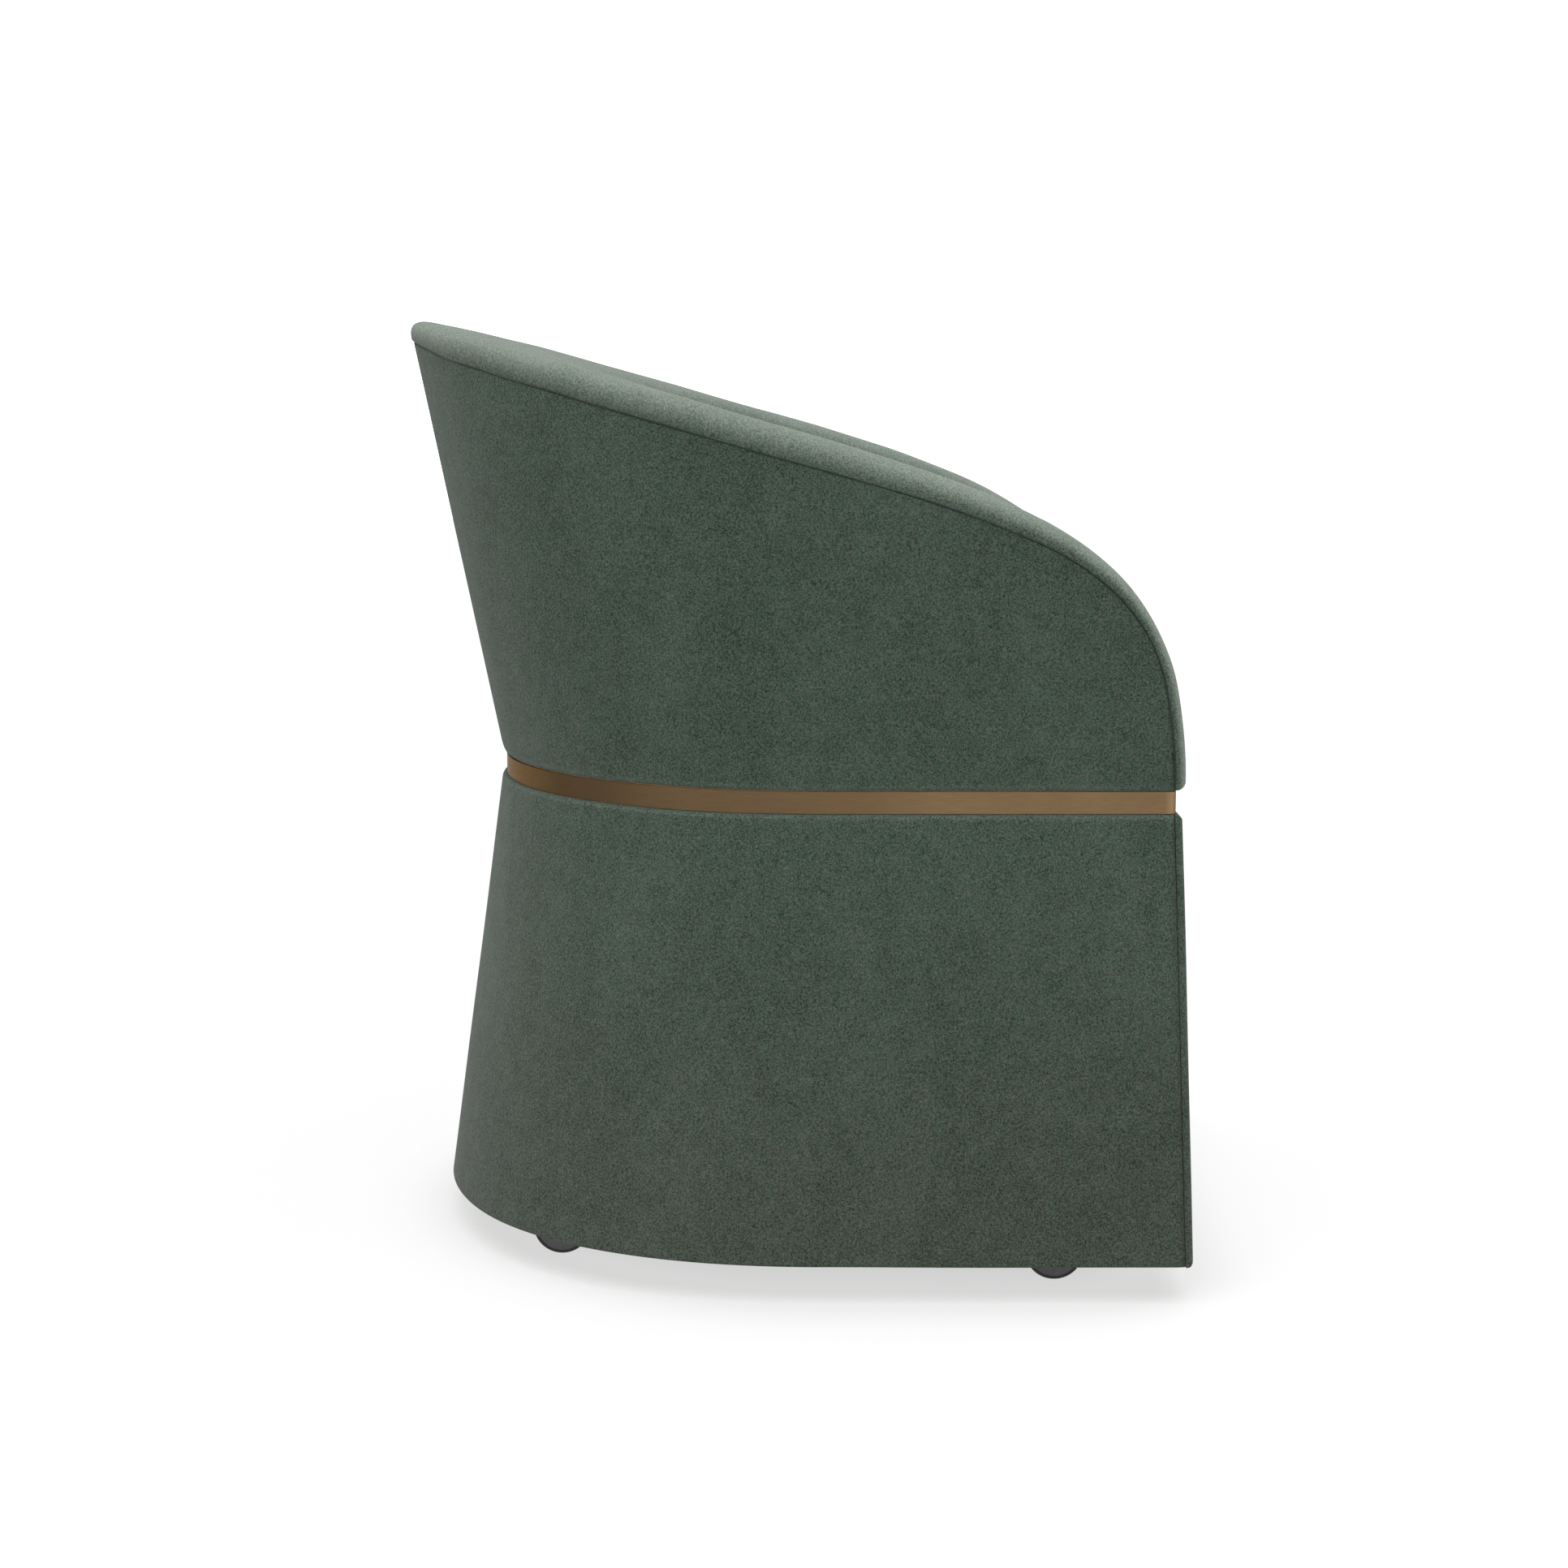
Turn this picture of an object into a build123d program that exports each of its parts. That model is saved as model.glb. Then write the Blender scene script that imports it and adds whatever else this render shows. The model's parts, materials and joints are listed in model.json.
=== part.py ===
"""Barrel-back upholstered dining chair on four hidden twin-wheel casters.

Millimetres, +Z up, the sitter faces -Y, +X is the sitter's left.
The origin is on the floor, under the middle of the chair's bounding box.

From the floor up the chair is: casters, a flared skirted base, a metal waist
band around a spacer board, and a tub-shaped upper shell with a tight seat.
Every curved wall is a stack of nested layers, measured inward from the
outside face: velvet cover, bent ply panel, ribs or posts, inner panel, pad.
"""

from build123d import *
import math
import os

os.makedirs("parts", exist_ok=True)

# ---------------------------------------------------------------- dimensions
SPREAD = 400  # half-size of cutting blocks, larger than the chair
GAP = 0.3  # air between two nested curved layers

# heights of the main levels
SKIRT_Z = 31  # lower hem of the base cover
BASE_TOP = 406
WAIST_TOP = 426
SHELL_TOP = 803  # level at which the upper outline below is given

# plan outline: straight sides, back rounded like a superellipse of this power
SPRING_Y = -28  # where the straight sides end and the rounded back starts
HALF_SKIRT, REAR_SKIRT, POWER_SKIRT = 323.5, 315.0, 2.16
HALF_BASE_TOP, REAR_BASE_TOP = 279.0, 263.2
HALF_WAIST, REAR_WAIST = 276.0, 259.6
HALF_SHELL_LOW, REAR_SHELL_LOW = 278.5, 262.3
HALF_SHELL_TOP, REAR_SHELL_TOP, POWER_SHELL_TOP = 300.0, 338.9, 2.2
REAR_PAD_LOW, REAR_PAD_TOP = 150.0, 192.0  # face of the inside back
POWER_WAIST = 2.0

# front faces
FRONT_SKIRT, FRONT_BASE_TOP = -338.0, -327.4  # face of the front cover
FRONT_COVER_T = 6.6
FRONT_BOARD_T = 12.0
FRONT_WAIST = -322.2
WAIST_CORNER_R = 6.0

# layer thicknesses
COVER_T = 4.0
BASE_PLY_T = 6.0
SHELL_PLY_T = 4.0
INNER_FACE = 28.0  # depth of the frame, from the outside to the inner panel
INNER_PLY_T = 3.0
ARM_T = 54.0  # full thickness of the upholstered arms
ROLL_PROUD = 1.0  # the top roll stands out past the cover by this much

# side view of the seam between the top roll and the outside cover: a straight
# slope over the back, lifted a little at the very rear, then a curve down to
# the foot of the arm's front.
SEAM_LINE = ((420.0, 816.2), (14.8, 703.1))
SEAM_LIFT = 4.5
LIFT_FROM_Y, LIFT_TO_Y = 275.0, 345.0
SEAM_CURVE = ((14.8, 703.1), (-239.6, 632.1), (-319.8, 609.9), (-320.2, 426.3))
ROLL_H_BACK = 25.8  # height of the roll's crown over the seam, on the back
ROLL_H_FRONT = 10.9  # and at the front of the arms
ROLL_TUCK = 10.0  # the roll's foam reaches this far below the seam level

# boards
BOARD_T = 18.0
BOTTOM_BOARD_Z = 64.0
SPACER_T = WAIST_TOP - BASE_TOP
BAND_T = 2.0
BAND_GAP = 0.8
SEAT_FRONT_Y = -328.0
SEAT_RAIL_FRONT_Y = -316.0
SEAT_TOP = 490.0
SEAT_SHOULDER_R = 16.0
WEB_T = 2.0
WEB_W = 50.0
RAIL_W = 80.0  # width of the seat rail ring
WELL_DEPTH = 88.6  # wall depth of the well under the webbing

# casters
WHEEL_R = 25.0
TREAD_T = 3.2
CASTER_TRAIL = 18.0
CASTER_TOP = BOTTOM_BOARD_Z
FRONT_CASTER = (242.0, -245.9)
REAR_CASTER = (171.0, 181.5)
CASTER_PLATE = 46.0
CASTER_PLATE_T = 2.5
CASTER_SCREW = 17.0  # screw offset from the plate's middle
KINGPIN_D = 8.0
AXLE_D = 6.0
RUN_CLEAR = 0.05  # radial clearance of a turning fit
CHEEK_T = 6.0  # web between the two wheels
WHEEL_GAP = 0.6  # wheel to web
WHEEL_OUT = 23.4  # web middle to the dome of the wheel

# fasteners
BOLT_D = 6.0
BOLT_HOLE_D = 6.4
NUT_BARREL_D = 8.0
NUT_FLANGE_D = 16.0
NUT_FLANGE_T = 1.4


# ------------------------------------------------------------ shared geometry
def lerp(a, b, t):
    return a + (b - a) * t


# each wall: (low level, high level, half width, rear y, superellipse power)
BASE = (SKIRT_Z, BASE_TOP, HALF_SKIRT, HALF_BASE_TOP,
        REAR_SKIRT, REAR_BASE_TOP, POWER_SKIRT, POWER_WAIST)
WAIST = (BASE_TOP, WAIST_TOP, HALF_WAIST, HALF_WAIST,
         REAR_WAIST, REAR_WAIST, POWER_WAIST, POWER_WAIST)
SHELL = (WAIST_TOP, SHELL_TOP, HALF_SHELL_LOW, HALF_SHELL_TOP,
         REAR_SHELL_LOW, REAR_SHELL_TOP, POWER_WAIST, POWER_SHELL_TOP)
PAD = (WAIST_TOP, SHELL_TOP, HALF_SHELL_LOW - ARM_T, HALF_SHELL_TOP - ARM_T,
       REAR_PAD_LOW, REAR_PAD_TOP, POWER_WAIST, POWER_SHELL_TOP)


def wall_at(wall, z):
    """Half width, rear y and power of a wall's outside face at level z."""
    t = (z - wall[0]) / (wall[1] - wall[0])
    return lerp(wall[2], wall[3], t), lerp(wall[4], wall[5], t), lerp(wall[6], wall[7], t)


def quarter(wall, z, depth):
    """Control points of the left half of the rounded back, spring to rear.

    The handles are as long as makes the arc pass through the middle of a
    superellipse of the wall's power.
    """
    half, rear, power = wall_at(wall, z)
    half -= depth
    deep = rear - depth - SPRING_Y
    handle = (8 * 2 ** (-1 / power) - 4) / 3
    return [(half, SPRING_Y), (half, SPRING_Y + handle * deep),
            (handle * half, SPRING_Y + deep), (0, SPRING_Y + deep)]


def back_point(wall, z, depth, angle):
    """Point and inward direction on the rounded back.

    angle runs from 0 at the left spring over 90 at the rear to 180.
    """
    side = 1 if angle <= 90 else -1
    t = (angle if angle <= 90 else 180 - angle) / 90
    p = quarter(wall, z, depth)
    mix = ((1 - t) ** 3, 3 * (1 - t) ** 2 * t, 3 * (1 - t) * t * t, t ** 3)
    speed = ((1 - t) ** 2, 2 * (1 - t) * t, t * t)
    x = sum(m * q[0] for m, q in zip(mix, p))
    y = sum(m * q[1] for m, q in zip(mix, p))
    dx = sum(m * (p[i + 1][0] - p[i][0]) for i, m in enumerate(speed))
    dy = sum(m * (p[i + 1][1] - p[i][1]) for i, m in enumerate(speed))
    return x * side, y, Vector(-dy * side, dx, 0).normalized()


def outline(wall, z, depth, front):
    """Horizontal face bounded by the wall at this depth and a straight front."""
    left = quarter(wall, z, depth)
    right = [(-x, y) for x, y in reversed(left)]
    half = left[0][0]
    back = Bezier(*left).edges() + Bezier(*right).edges()
    front_line = Polyline((-half, SPRING_Y), (-half, front), (half, front), (half, SPRING_Y))
    return Pos(0, 0, z) * make_face(back + front_line.edges())


def body(wall, z0, z1, depth, front0, front1=None):
    """Solid inside a wall from z0 to z1, cut off by a front plane."""
    if front1 is None:
        front1 = front0
    return loft([outline(wall, z0, depth, front0), outline(wall, z1, depth, front1)],
                ruled=True)


def base_front(z):
    """Front face of the base at level z."""
    return lerp(FRONT_SKIRT, FRONT_BASE_TOP, (z - SKIRT_Z) / (BASE_TOP - SKIRT_Z))


def base_body(z0, z1, depth, set_back):
    """Solid inside the base's wall, its front plane set back from the front."""
    return body(BASE, z0, z1, depth, base_front(z0) + set_back, base_front(z1) + set_back)


def block(x0, x1, y0, y1, z0, z1):
    return Pos((x0 + x1) / 2, (y0 + y1) / 2, (z0 + z1) / 2) * Box(x1 - x0, y1 - y0, z1 - z0)


def rod(x, y, z0, z1, diameter):
    return Pos(x, y, (z0 + z1) / 2) * Cylinder(diameter / 2, z1 - z0)


def seam_line_z(y):
    """Level of the seam's straight slope at y."""
    (y1, z1), (y0, z0) = SEAM_LINE
    return lerp(z0, z1, (y - y0) / (y1 - y0))


def seam_lift(y):
    """How far the seam stands above its straight slope at y."""
    t = min(1.0, max(0.0, (y - LIFT_FROM_Y) / (LIFT_TO_Y - LIFT_FROM_Y)))
    return SEAM_LIFT * t * t * (3 - 2 * t)


def seam_z(y):
    return seam_line_z(y) + seam_lift(y)


def side_profile(line, curve, drop, front_shift):
    """Everything behind and below a side-view edge, as wide as the chair.

    drop lowers the straight part, front_shift moves the front of the arm back.
    """
    far = (line[0][0], line[0][1] + SEAM_LIFT)
    near = line[1]
    p0, p1, p2, p3 = curve
    third = (LIFT_TO_Y - LIFT_FROM_Y) / 3
    stops = [(LIFT_TO_Y, SEAM_LIFT), (LIFT_TO_Y - third, SEAM_LIFT),
             (LIFT_FROM_Y + third, 0), (LIFT_FROM_Y, 0)]
    rear = [(y, seam_line_z(y) + lift - drop) for y, lift in stops]
    top = Line((far[0], far[1] - drop), rear[0]).edges() + Bezier(*rear).edges()
    top += Line(rear[-1], (near[0], near[1] - drop)).edges()
    bend = Bezier((p0[0], p0[1] - drop), (p1[0], p1[1] - drop),
                  (p2[0] + front_shift, p2[1] - drop), (p3[0] + front_shift, p3[1]))
    end_y = p3[0] + front_shift
    rest = Polyline((end_y, p3[1]), (end_y, 380), (far[0], 380), (far[0], far[1] - drop))
    face = make_face(top + bend.edges() + rest.edges())
    return extrude(Plane.YZ * face, SPREAD, both=True)


def save(shape, name):
    export_step(shape, "parts/" + name + ".step")


def group(shapes):
    return Compound(children=[s for shape in shapes for s in shape.solids()])


# --------------------------------------------------------------------- base
# Outside cover of the base: velvet over thin foam, open at the front.
COVER_SET_BACK = FRONT_COVER_T + 0.4
base_cover = base_body(SKIRT_Z, BASE_TOP, 0, COVER_SET_BACK)
base_cover -= base_body(SKIRT_Z - 5, BASE_TOP + 5, COVER_T, -20)
top_rim = base_cover.edges().filter_by_position(Axis.Z, BASE_TOP - 0.01, BASE_TOP + 0.01)
top_rim = [e for e in top_rim if abs(e.position_at(0.5).X) > HALF_BASE_TOP - 1
           or e.position_at(0.5).Y > REAR_BASE_TOP - 1]
base_cover = fillet(top_rim, 3.2)
save(base_cover, "base_side_cover")

front_cover = base_body(SKIRT_Z, BASE_TOP, 0, 0)
behind_front = loft([Pos(0, 0, SKIRT_Z - 5) * (Pos(0, base_front(SKIRT_Z - 5) + FRONT_COVER_T
                                                   + SPREAD) * Rectangle(900, 2 * SPREAD)),
                     Pos(0, 0, BASE_TOP + 5) * (Pos(0, base_front(BASE_TOP + 5) + FRONT_COVER_T
                                                    + SPREAD) * Rectangle(900, 2 * SPREAD))],
                    ruled=True)
front_cover -= behind_front
front_edges = front_cover.faces().sort_by(Axis.Y)[0].edges()
front_cover = fillet(front_edges, 3.0)
save(front_cover, "base_front_cover")

# Bent ply behind the cover, and a flat board behind the front cover.
PLY_OUT = COVER_T + GAP
PLY_IN = PLY_OUT + BASE_PLY_T
base_panel = base_body(SKIRT_Z + 3, BASE_TOP, PLY_OUT, COVER_SET_BACK)
base_panel -= base_body(SKIRT_Z - 5, BASE_TOP + 5, PLY_IN, -20)
save(base_panel, "base_bent_panel")

CORE = PLY_IN + GAP
front_board = base_body(SKIRT_Z + 3, BASE_TOP, CORE, COVER_SET_BACK)
front_board -= loft([Pos(0, base_front(z) + COVER_SET_BACK + FRONT_BOARD_T + SPREAD, z)
                     * Rectangle(900, 2 * SPREAD) for z in (SKIRT_Z - 5, BASE_TOP + 5)],
                    ruled=True)
save(front_board, "base_front_board")

# Bottom and top boards, with the ribs that carry the flared wall.
CORE_FRONT = COVER_SET_BACK + FRONT_BOARD_T + 0.05
BOTTOM_TOP_Z = BOTTOM_BOARD_Z + BOARD_T
TOP_BOARD_Z = BASE_TOP - BOARD_T
bottom_board = base_body(BOTTOM_BOARD_Z, BOTTOM_TOP_Z, CORE, CORE_FRONT)
top_board = base_body(TOP_BOARD_Z, BASE_TOP, CORE, CORE_FRONT)
rib_space = base_body(BOTTOM_TOP_Z, TOP_BOARD_Z, CORE, CORE_FRONT)

RIB_REACH = 400
save(rib_space & block(-RIB_REACH, RIB_REACH, -200, -182, 0, 500), "base_rib_front")
save(rib_space & block(-RIB_REACH, RIB_REACH, -20, -2, 0, 500), "base_rib_middle")
save(rib_space & block(-RIB_REACH, RIB_REACH, 142, 160, 0, 500), "base_rib_rear")
save(rib_space & block(-9, 9, 160, RIB_REACH, 0, 500), "base_rib_spine")

# Shell bolts: up through the top board, the spacer and the seat rail.
BOLT_PLACES = [(side * x, y) for side in (-1, 1)
               for x, y in ((206, -291), (206, -148), (190, 56), (90, 168))]

CASTERS = {
    "front_left": (FRONT_CASTER[0], FRONT_CASTER[1]),
    "front_right": (-FRONT_CASTER[0], FRONT_CASTER[1]),
    "rear_left": (REAR_CASTER[0], REAR_CASTER[1]),
    "rear_right": (-REAR_CASTER[0], REAR_CASTER[1]),
}

# Well under the webbing: the rail, the spacer and the top board are rings, so
# the seat can dip between them.
seat_well = body(SHELL, TOP_BOARD_Z - 5, WAIST_TOP + BOARD_T + 5, WELL_DEPTH,
                 SEAT_RAIL_FRONT_Y + RAIL_W)

for x, y in BOLT_PLACES:
    top_board -= rod(x, y, TOP_BOARD_Z - 1, BASE_TOP + 1, BOLT_HOLE_D)
top_board -= seat_well
SCREW_D = 4.0
SCREW_L = 15.0
SCREW_PLACES = [(cx + i * CASTER_SCREW, cy + j * CASTER_SCREW)
                for cx, cy in CASTERS.values() for i in (-1, 1) for j in (-1, 1)]
for x, y in SCREW_PLACES:
    bottom_board -= rod(x, y, BOTTOM_BOARD_Z - 1, BOTTOM_BOARD_Z + SCREW_L + 1, SCREW_D)
save(bottom_board, "base_bottom_board")
save(top_board, "base_top_board")

# Black underlining stapled under the bottom board, cut away for the casters.
LINING_T = 1.0
lining = base_body(BOTTOM_BOARD_Z - LINING_T, BOTTOM_BOARD_Z, CORE + 6, CORE_FRONT + 6)
for cx, cy in CASTERS.values():
    reach = CASTER_PLATE / 2 + 4
    lining -= block(cx - reach, cx + reach, cy - reach, cy + reach, 50, 70)
save(lining, "base_underlining")

# --------------------------------------------------------------------- waist
WAIST_IN = BAND_T + GAP


def waist_outline(z, depth):
    """Waist plan with small rounded corners at the front."""
    face = outline(WAIST, z, depth, FRONT_WAIST + depth)
    corners = face.vertices().sort_by(Axis.Y)[0:2]
    return fillet(corners, WAIST_CORNER_R - depth)


spacer = extrude(waist_outline(BASE_TOP, WAIST_IN), SPACER_T)
for x, y in BOLT_PLACES:
    spacer -= rod(x, y, BASE_TOP - 1, WAIST_TOP + 1, BOLT_HOLE_D)
spacer -= seat_well
save(spacer, "waist_spacer_board")

band_face = waist_outline(BASE_TOP + BAND_GAP, 0) - waist_outline(BASE_TOP + BAND_GAP, BAND_T)
save(extrude(band_face, SPACER_T - 2 * BAND_GAP), "waist_band")

# --------------------------------------------------------------------- shell
LIFT = 0.3  # the pads clear the boards under them by this much
FAR_FRONT = -360
CUT_HIGH = 860


def shell_layer(outer, inner, z0, trim):
    """Wall of the shell between two depths, above z0, inside an edge profile."""
    wall = body(SHELL, WAIST_TOP - 20, CUT_HIGH, outer, FAR_FRONT)
    wall -= body(SHELL, WAIST_TOP - 40, CUT_HIGH + 20, inner, FAR_FRONT - 20)
    wall &= block(-SPREAD, SPREAD, -SPREAD, SPREAD, z0, CUT_HIGH)
    return wall & trim


# Outside cover: one velvet sheet on thin foam, seamed to the roll at its top
# and rounded under at its foot.
FOOT = ((WAIST_TOP, 2.8), (WAIST_TOP + 3.5, 1.1), (WAIST_TOP + 10, 0), (CUT_HIGH, 0))
outside_cover = loft([outline(SHELL, z, depth, FAR_FRONT) for z, depth in FOOT], ruled=True)
outside_cover -= body(SHELL, WAIST_TOP - 40, CUT_HIGH + 20, COVER_T, FAR_FRONT - 20)
outside_cover &= side_profile(SEAM_LINE, SEAM_CURVE, 0.3, 0.3)
save(outside_cover, "shell_outside_cover")

# Bent ply under the cover, and the inner ply that the inside pad is glued to.
SHELL_PLY_OUT = COVER_T + GAP
SHELL_PLY_IN = SHELL_PLY_OUT + SHELL_PLY_T
frame_trim = side_profile(SEAM_LINE, SEAM_CURVE, 2.0, 2.0)
shell_panel = shell_layer(SHELL_PLY_OUT, SHELL_PLY_IN, WAIST_TOP, frame_trim)
save(shell_panel, "shell_bent_panel")

POST_OUT = SHELL_PLY_IN + GAP
POST_IN = INNER_FACE - INNER_PLY_T - GAP
RAIL_TOP = WAIST_TOP + BOARD_T
inner_panel = shell_layer(INNER_FACE - INNER_PLY_T, INNER_FACE, RAIL_TOP, frame_trim)
save(inner_panel, "shell_inner_panel")

# Seat rail: the ply ring at the foot of the shell.
seat_rail = body(SHELL, WAIST_TOP, RAIL_TOP, POST_OUT, SEAT_RAIL_FRONT_Y)
seat_rail -= seat_well
for x, y in BOLT_PLACES:
    seat_rail -= rod(x, y, WAIST_TOP - 1, RAIL_TOP + 1, NUT_BARREL_D)
save(seat_rail, "seat_rail")

# Posts and the bent top rail between the two shell panels.
TOP_RAIL_H = 24.0
POST_W = 28.0
FRONT_POST_Y = -188.0
post_wall = shell_layer(POST_OUT, POST_IN, RAIL_TOP, frame_trim)
save(post_wall - side_profile(SEAM_LINE, SEAM_CURVE, 2.0 + TOP_RAIL_H, 2.0 + TOP_RAIL_H),
     "shell_top_rail")
under_rail = side_profile(SEAM_LINE, SEAM_CURVE, 2.1 + TOP_RAIL_H, 2.1 + TOP_RAIL_H)
posts = post_wall & under_rail
for side, sign in (("left", 1), ("right", -1)):
    half_posts = posts & block(min(0, sign * SPREAD), max(0, sign * SPREAD),
                               -SPREAD, SPREAD, 400, 900)
    save(half_posts & block(-SPREAD, SPREAD, FRONT_POST_Y, FRONT_POST_Y + POST_W, 400, 900),
         "shell_front_post_" + side)
    save(half_posts & block(-SPREAD, SPREAD, -POST_W / 2, POST_W / 2, 400, 900),
         "shell_side_post_" + side)
    slab = block(-POST_W / 2, POST_W / 2, 0, 2 * SPREAD, 400, 900)
    save(half_posts & (Pos(0, SPRING_Y, 0) * Rot(0, 0, -sign * 42) * slab),
         "shell_corner_post_" + side)
save(posts & block(-POST_W / 2, POST_W / 2, 0, SPREAD, 400, 900), "shell_rear_post")


# Top roll: foam and velvet over the frame's top edge and down the fronts of the
# arms, seamed to the outside cover. Inside pad: the foam and velvet below it.
def roll_wire(outer, inward, width, rise, height, tilt, lean):
    """Closed D-shaped section of the roll.

    outer is its point on the seam, tilt the seam's climb per mm inward, and
    lean how far the outside wall slopes per mm of height. A section wider than
    the arms is flatter on top between the same two shoulders.
    """
    shoulder = (ARM_T + ROLL_PROUD) / 2

    def place(q, h):
        return outer + inward * q + Vector(0, 0, tilt * q) + rise * h

    arch = []
    for k in range(0, 9):
        c = math.cos(math.radians(22.5 * k))
        s = max(0.0, math.sin(math.radians(22.5 * k)))
        q = (1 - abs(c) ** 0.85) * shoulder
        if k == 4:
            q = width / 2
        elif k > 4:
            q = width - q
        arch.append(place(q, height * s ** 0.85))
    top = Spline(*arch, tangents=[rise - inward * lean, -rise - inward * lean])
    rest = Polyline(arch[-1], place(width - 5, -ROLL_TUCK),
                    place(lean * ROLL_TUCK, -ROLL_TUCK), arch[0])
    return Wire(top.edges() + rest.edges())


def arm_section(t, side):
    """Section at parameter t of the seam's curve, on one arm."""
    p = SEAM_CURVE
    mix = ((1 - t) ** 3, 3 * (1 - t) ** 2 * t, 3 * (1 - t) * t * t, t ** 3)
    y = sum(m * q[0] for m, q in zip(mix, p))
    z = sum(m * q[1] for m, q in zip(mix, p))
    speed = (3 * (1 - t) ** 2, 6 * (1 - t) * t, 3 * t * t)
    dy = sum(m * (p[i + 1][0] - p[i][0]) for i, m in enumerate(speed))
    dz = sum(m * (p[i + 1][1] - p[i][1]) for i, m in enumerate(speed))
    start = math.atan2(p[0][1] - p[1][1], p[0][0] - p[1][0])
    turn = (math.atan2(-dz, -dy) - start) / (math.pi / 2 - start) * math.pi / 2
    if t == 1:
        turn = math.pi / 2
    rise = Vector(0, -math.sin(turn), math.cos(turn))
    s = min(1.0, t / 0.75)
    height = lerp(ROLL_H_BACK, ROLL_H_FRONT, s * s * (3 - 2 * s))
    half = wall_at(SHELL, z)[0] + ROLL_PROUD
    lean = (HALF_SHELL_TOP - HALF_SHELL_LOW) / (SHELL_TOP - WAIST_TOP) * math.cos(turn)
    return roll_wire(Vector(side * half, y, z), Vector(-side, 0, 0), ARM_T + ROLL_PROUD,
                     rise, height, 0, lean)


def back_section(angle):
    """Section where the plan's rounded back is at this angle."""
    z = pad_z = 750
    for _ in range(6):
        x, y, _ = back_point(SHELL, z, -ROLL_PROUD, angle)
        z = seam_z(y)
        pad_x, pad_y, _ = back_point(PAD, pad_z, 0, angle)
        pad_z = seam_line_z(pad_y)
    across = Vector(pad_x - x, pad_y - y, 0)
    inward = across.normalized()
    flare = lerp(HALF_SHELL_TOP - HALF_SHELL_LOW, REAR_SHELL_TOP - REAR_SHELL_LOW,
                 abs(inward.Y))
    slope = (SEAM_LINE[0][1] - SEAM_LINE[1][1]) / (SEAM_LINE[0][0] - SEAM_LINE[1][0])
    return roll_wire(Vector(x, y, z), inward, across.length, Vector(0, 0, 1),
                     ROLL_H_BACK - seam_lift(y), slope * inward.Y,
                     flare / (SHELL_TOP - WAIST_TOP))


arm_steps = (1, 0.93, 0.86, 0.78, 0.70, 0.62, 0.54, 0.46, 0.37, 0.28, 0.17)
sections = [arm_section(t, 1) for t in arm_steps]
sections += [back_section(15 * k) for k in range(13)]
sections += [arm_section(t, -1) for t in reversed(arm_steps)]
roll = Solid.make_loft(sections, False) - side_profile(SEAM_LINE, SEAM_CURVE, 0, 0)
save(roll, "shell_top_roll")

pad_trim = side_profile(SEAM_LINE, SEAM_CURVE, GAP, GAP)
PAD_FOOT = RAIL_TOP + WEB_T + LIFT
inside_pad = body(SHELL, WAIST_TOP - 20, CUT_HIGH, INNER_FACE + GAP, FAR_FRONT)
inside_pad -= body(PAD, WAIST_TOP - 40, CUT_HIGH + 20, 0, FAR_FRONT - 20)
inside_pad &= block(-SPREAD, SPREAD, -SPREAD, SPREAD, PAD_FOOT, CUT_HIGH)
save(inside_pad & pad_trim, "shell_inside_pad")

# --------------------------------------------------------------------- seat
# Woven straps across the seat rail, stapled on its top under the inside pad.
STRAP_DEPTH = INNER_FACE + 4
straps = []
for y in (-250, -182, -114, -46, 22, 90):
    far_y = y + WEB_W / 2
    half, rear, power = wall_at(SHELL, RAIL_TOP)
    bend = max(0.0, (far_y - SPRING_Y) / (rear - STRAP_DEPTH - SPRING_Y))
    reach = (half - STRAP_DEPTH) * (1 - bend ** power) ** (1 / power)
    straps.append(block(-reach, reach, y - WEB_W / 2, far_y, RAIL_TOP, RAIL_TOP + WEB_T))
save(group(straps), "seat_webbing")

# Tight seat pad: fills the tub, with a lip down over the front of the seat rail.
SEAT_GAP = 1.2  # between the seat pad and the inside pad
shoulder = [(RAIL_TOP + WEB_T + LIFT, 0)]
for k in range(0, 6):
    bow = math.radians(15 * k)
    shoulder.append((SEAT_TOP - SEAT_SHOULDER_R * (1 - math.sin(bow)),
                     SEAT_SHOULDER_R * (1 - math.cos(bow))))
shoulder += [(SEAT_TOP + 2.0, 45), (SEAT_TOP + 4.0, 90)]
seat = loft([outline(PAD, z, SEAT_GAP + d, SEAT_FRONT_Y + d) for z, d in shoulder],
            ruled=True)
lip_half = wall_at(PAD, WAIST_TOP)[0] - SEAT_GAP - 0.5
seat += block(-lip_half, lip_half, SEAT_FRONT_Y, SEAT_RAIL_FRONT_Y - LIFT,
              WAIST_TOP + LIFT, RAIL_TOP + WEB_T + 2)
save(seat, "seat_pad")

# ---------------------------------------------------------------- fasteners
BOLT_HEAD_D, BOLT_HEAD_T = 12.0, 4.0
BOLT_L = 2 * BOARD_T + SPACER_T
bolts = [rod(x, y, TOP_BOARD_Z, TOP_BOARD_Z + BOLT_L, BOLT_D)
         + rod(x, y, TOP_BOARD_Z - BOLT_HEAD_T, TOP_BOARD_Z, BOLT_HEAD_D) for x, y in BOLT_PLACES]
save(group(bolts), "shell_bolts")
nuts = [rod(x, y, WAIST_TOP + 8, RAIL_TOP + NUT_FLANGE_T, NUT_BARREL_D)
        + rod(x, y, RAIL_TOP, RAIL_TOP + NUT_FLANGE_T, NUT_FLANGE_D)
        - rod(x, y, WAIST_TOP, RAIL_TOP + 5, BOLT_D) for x, y in BOLT_PLACES]
save(group(nuts), "shell_tee_nuts")

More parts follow.
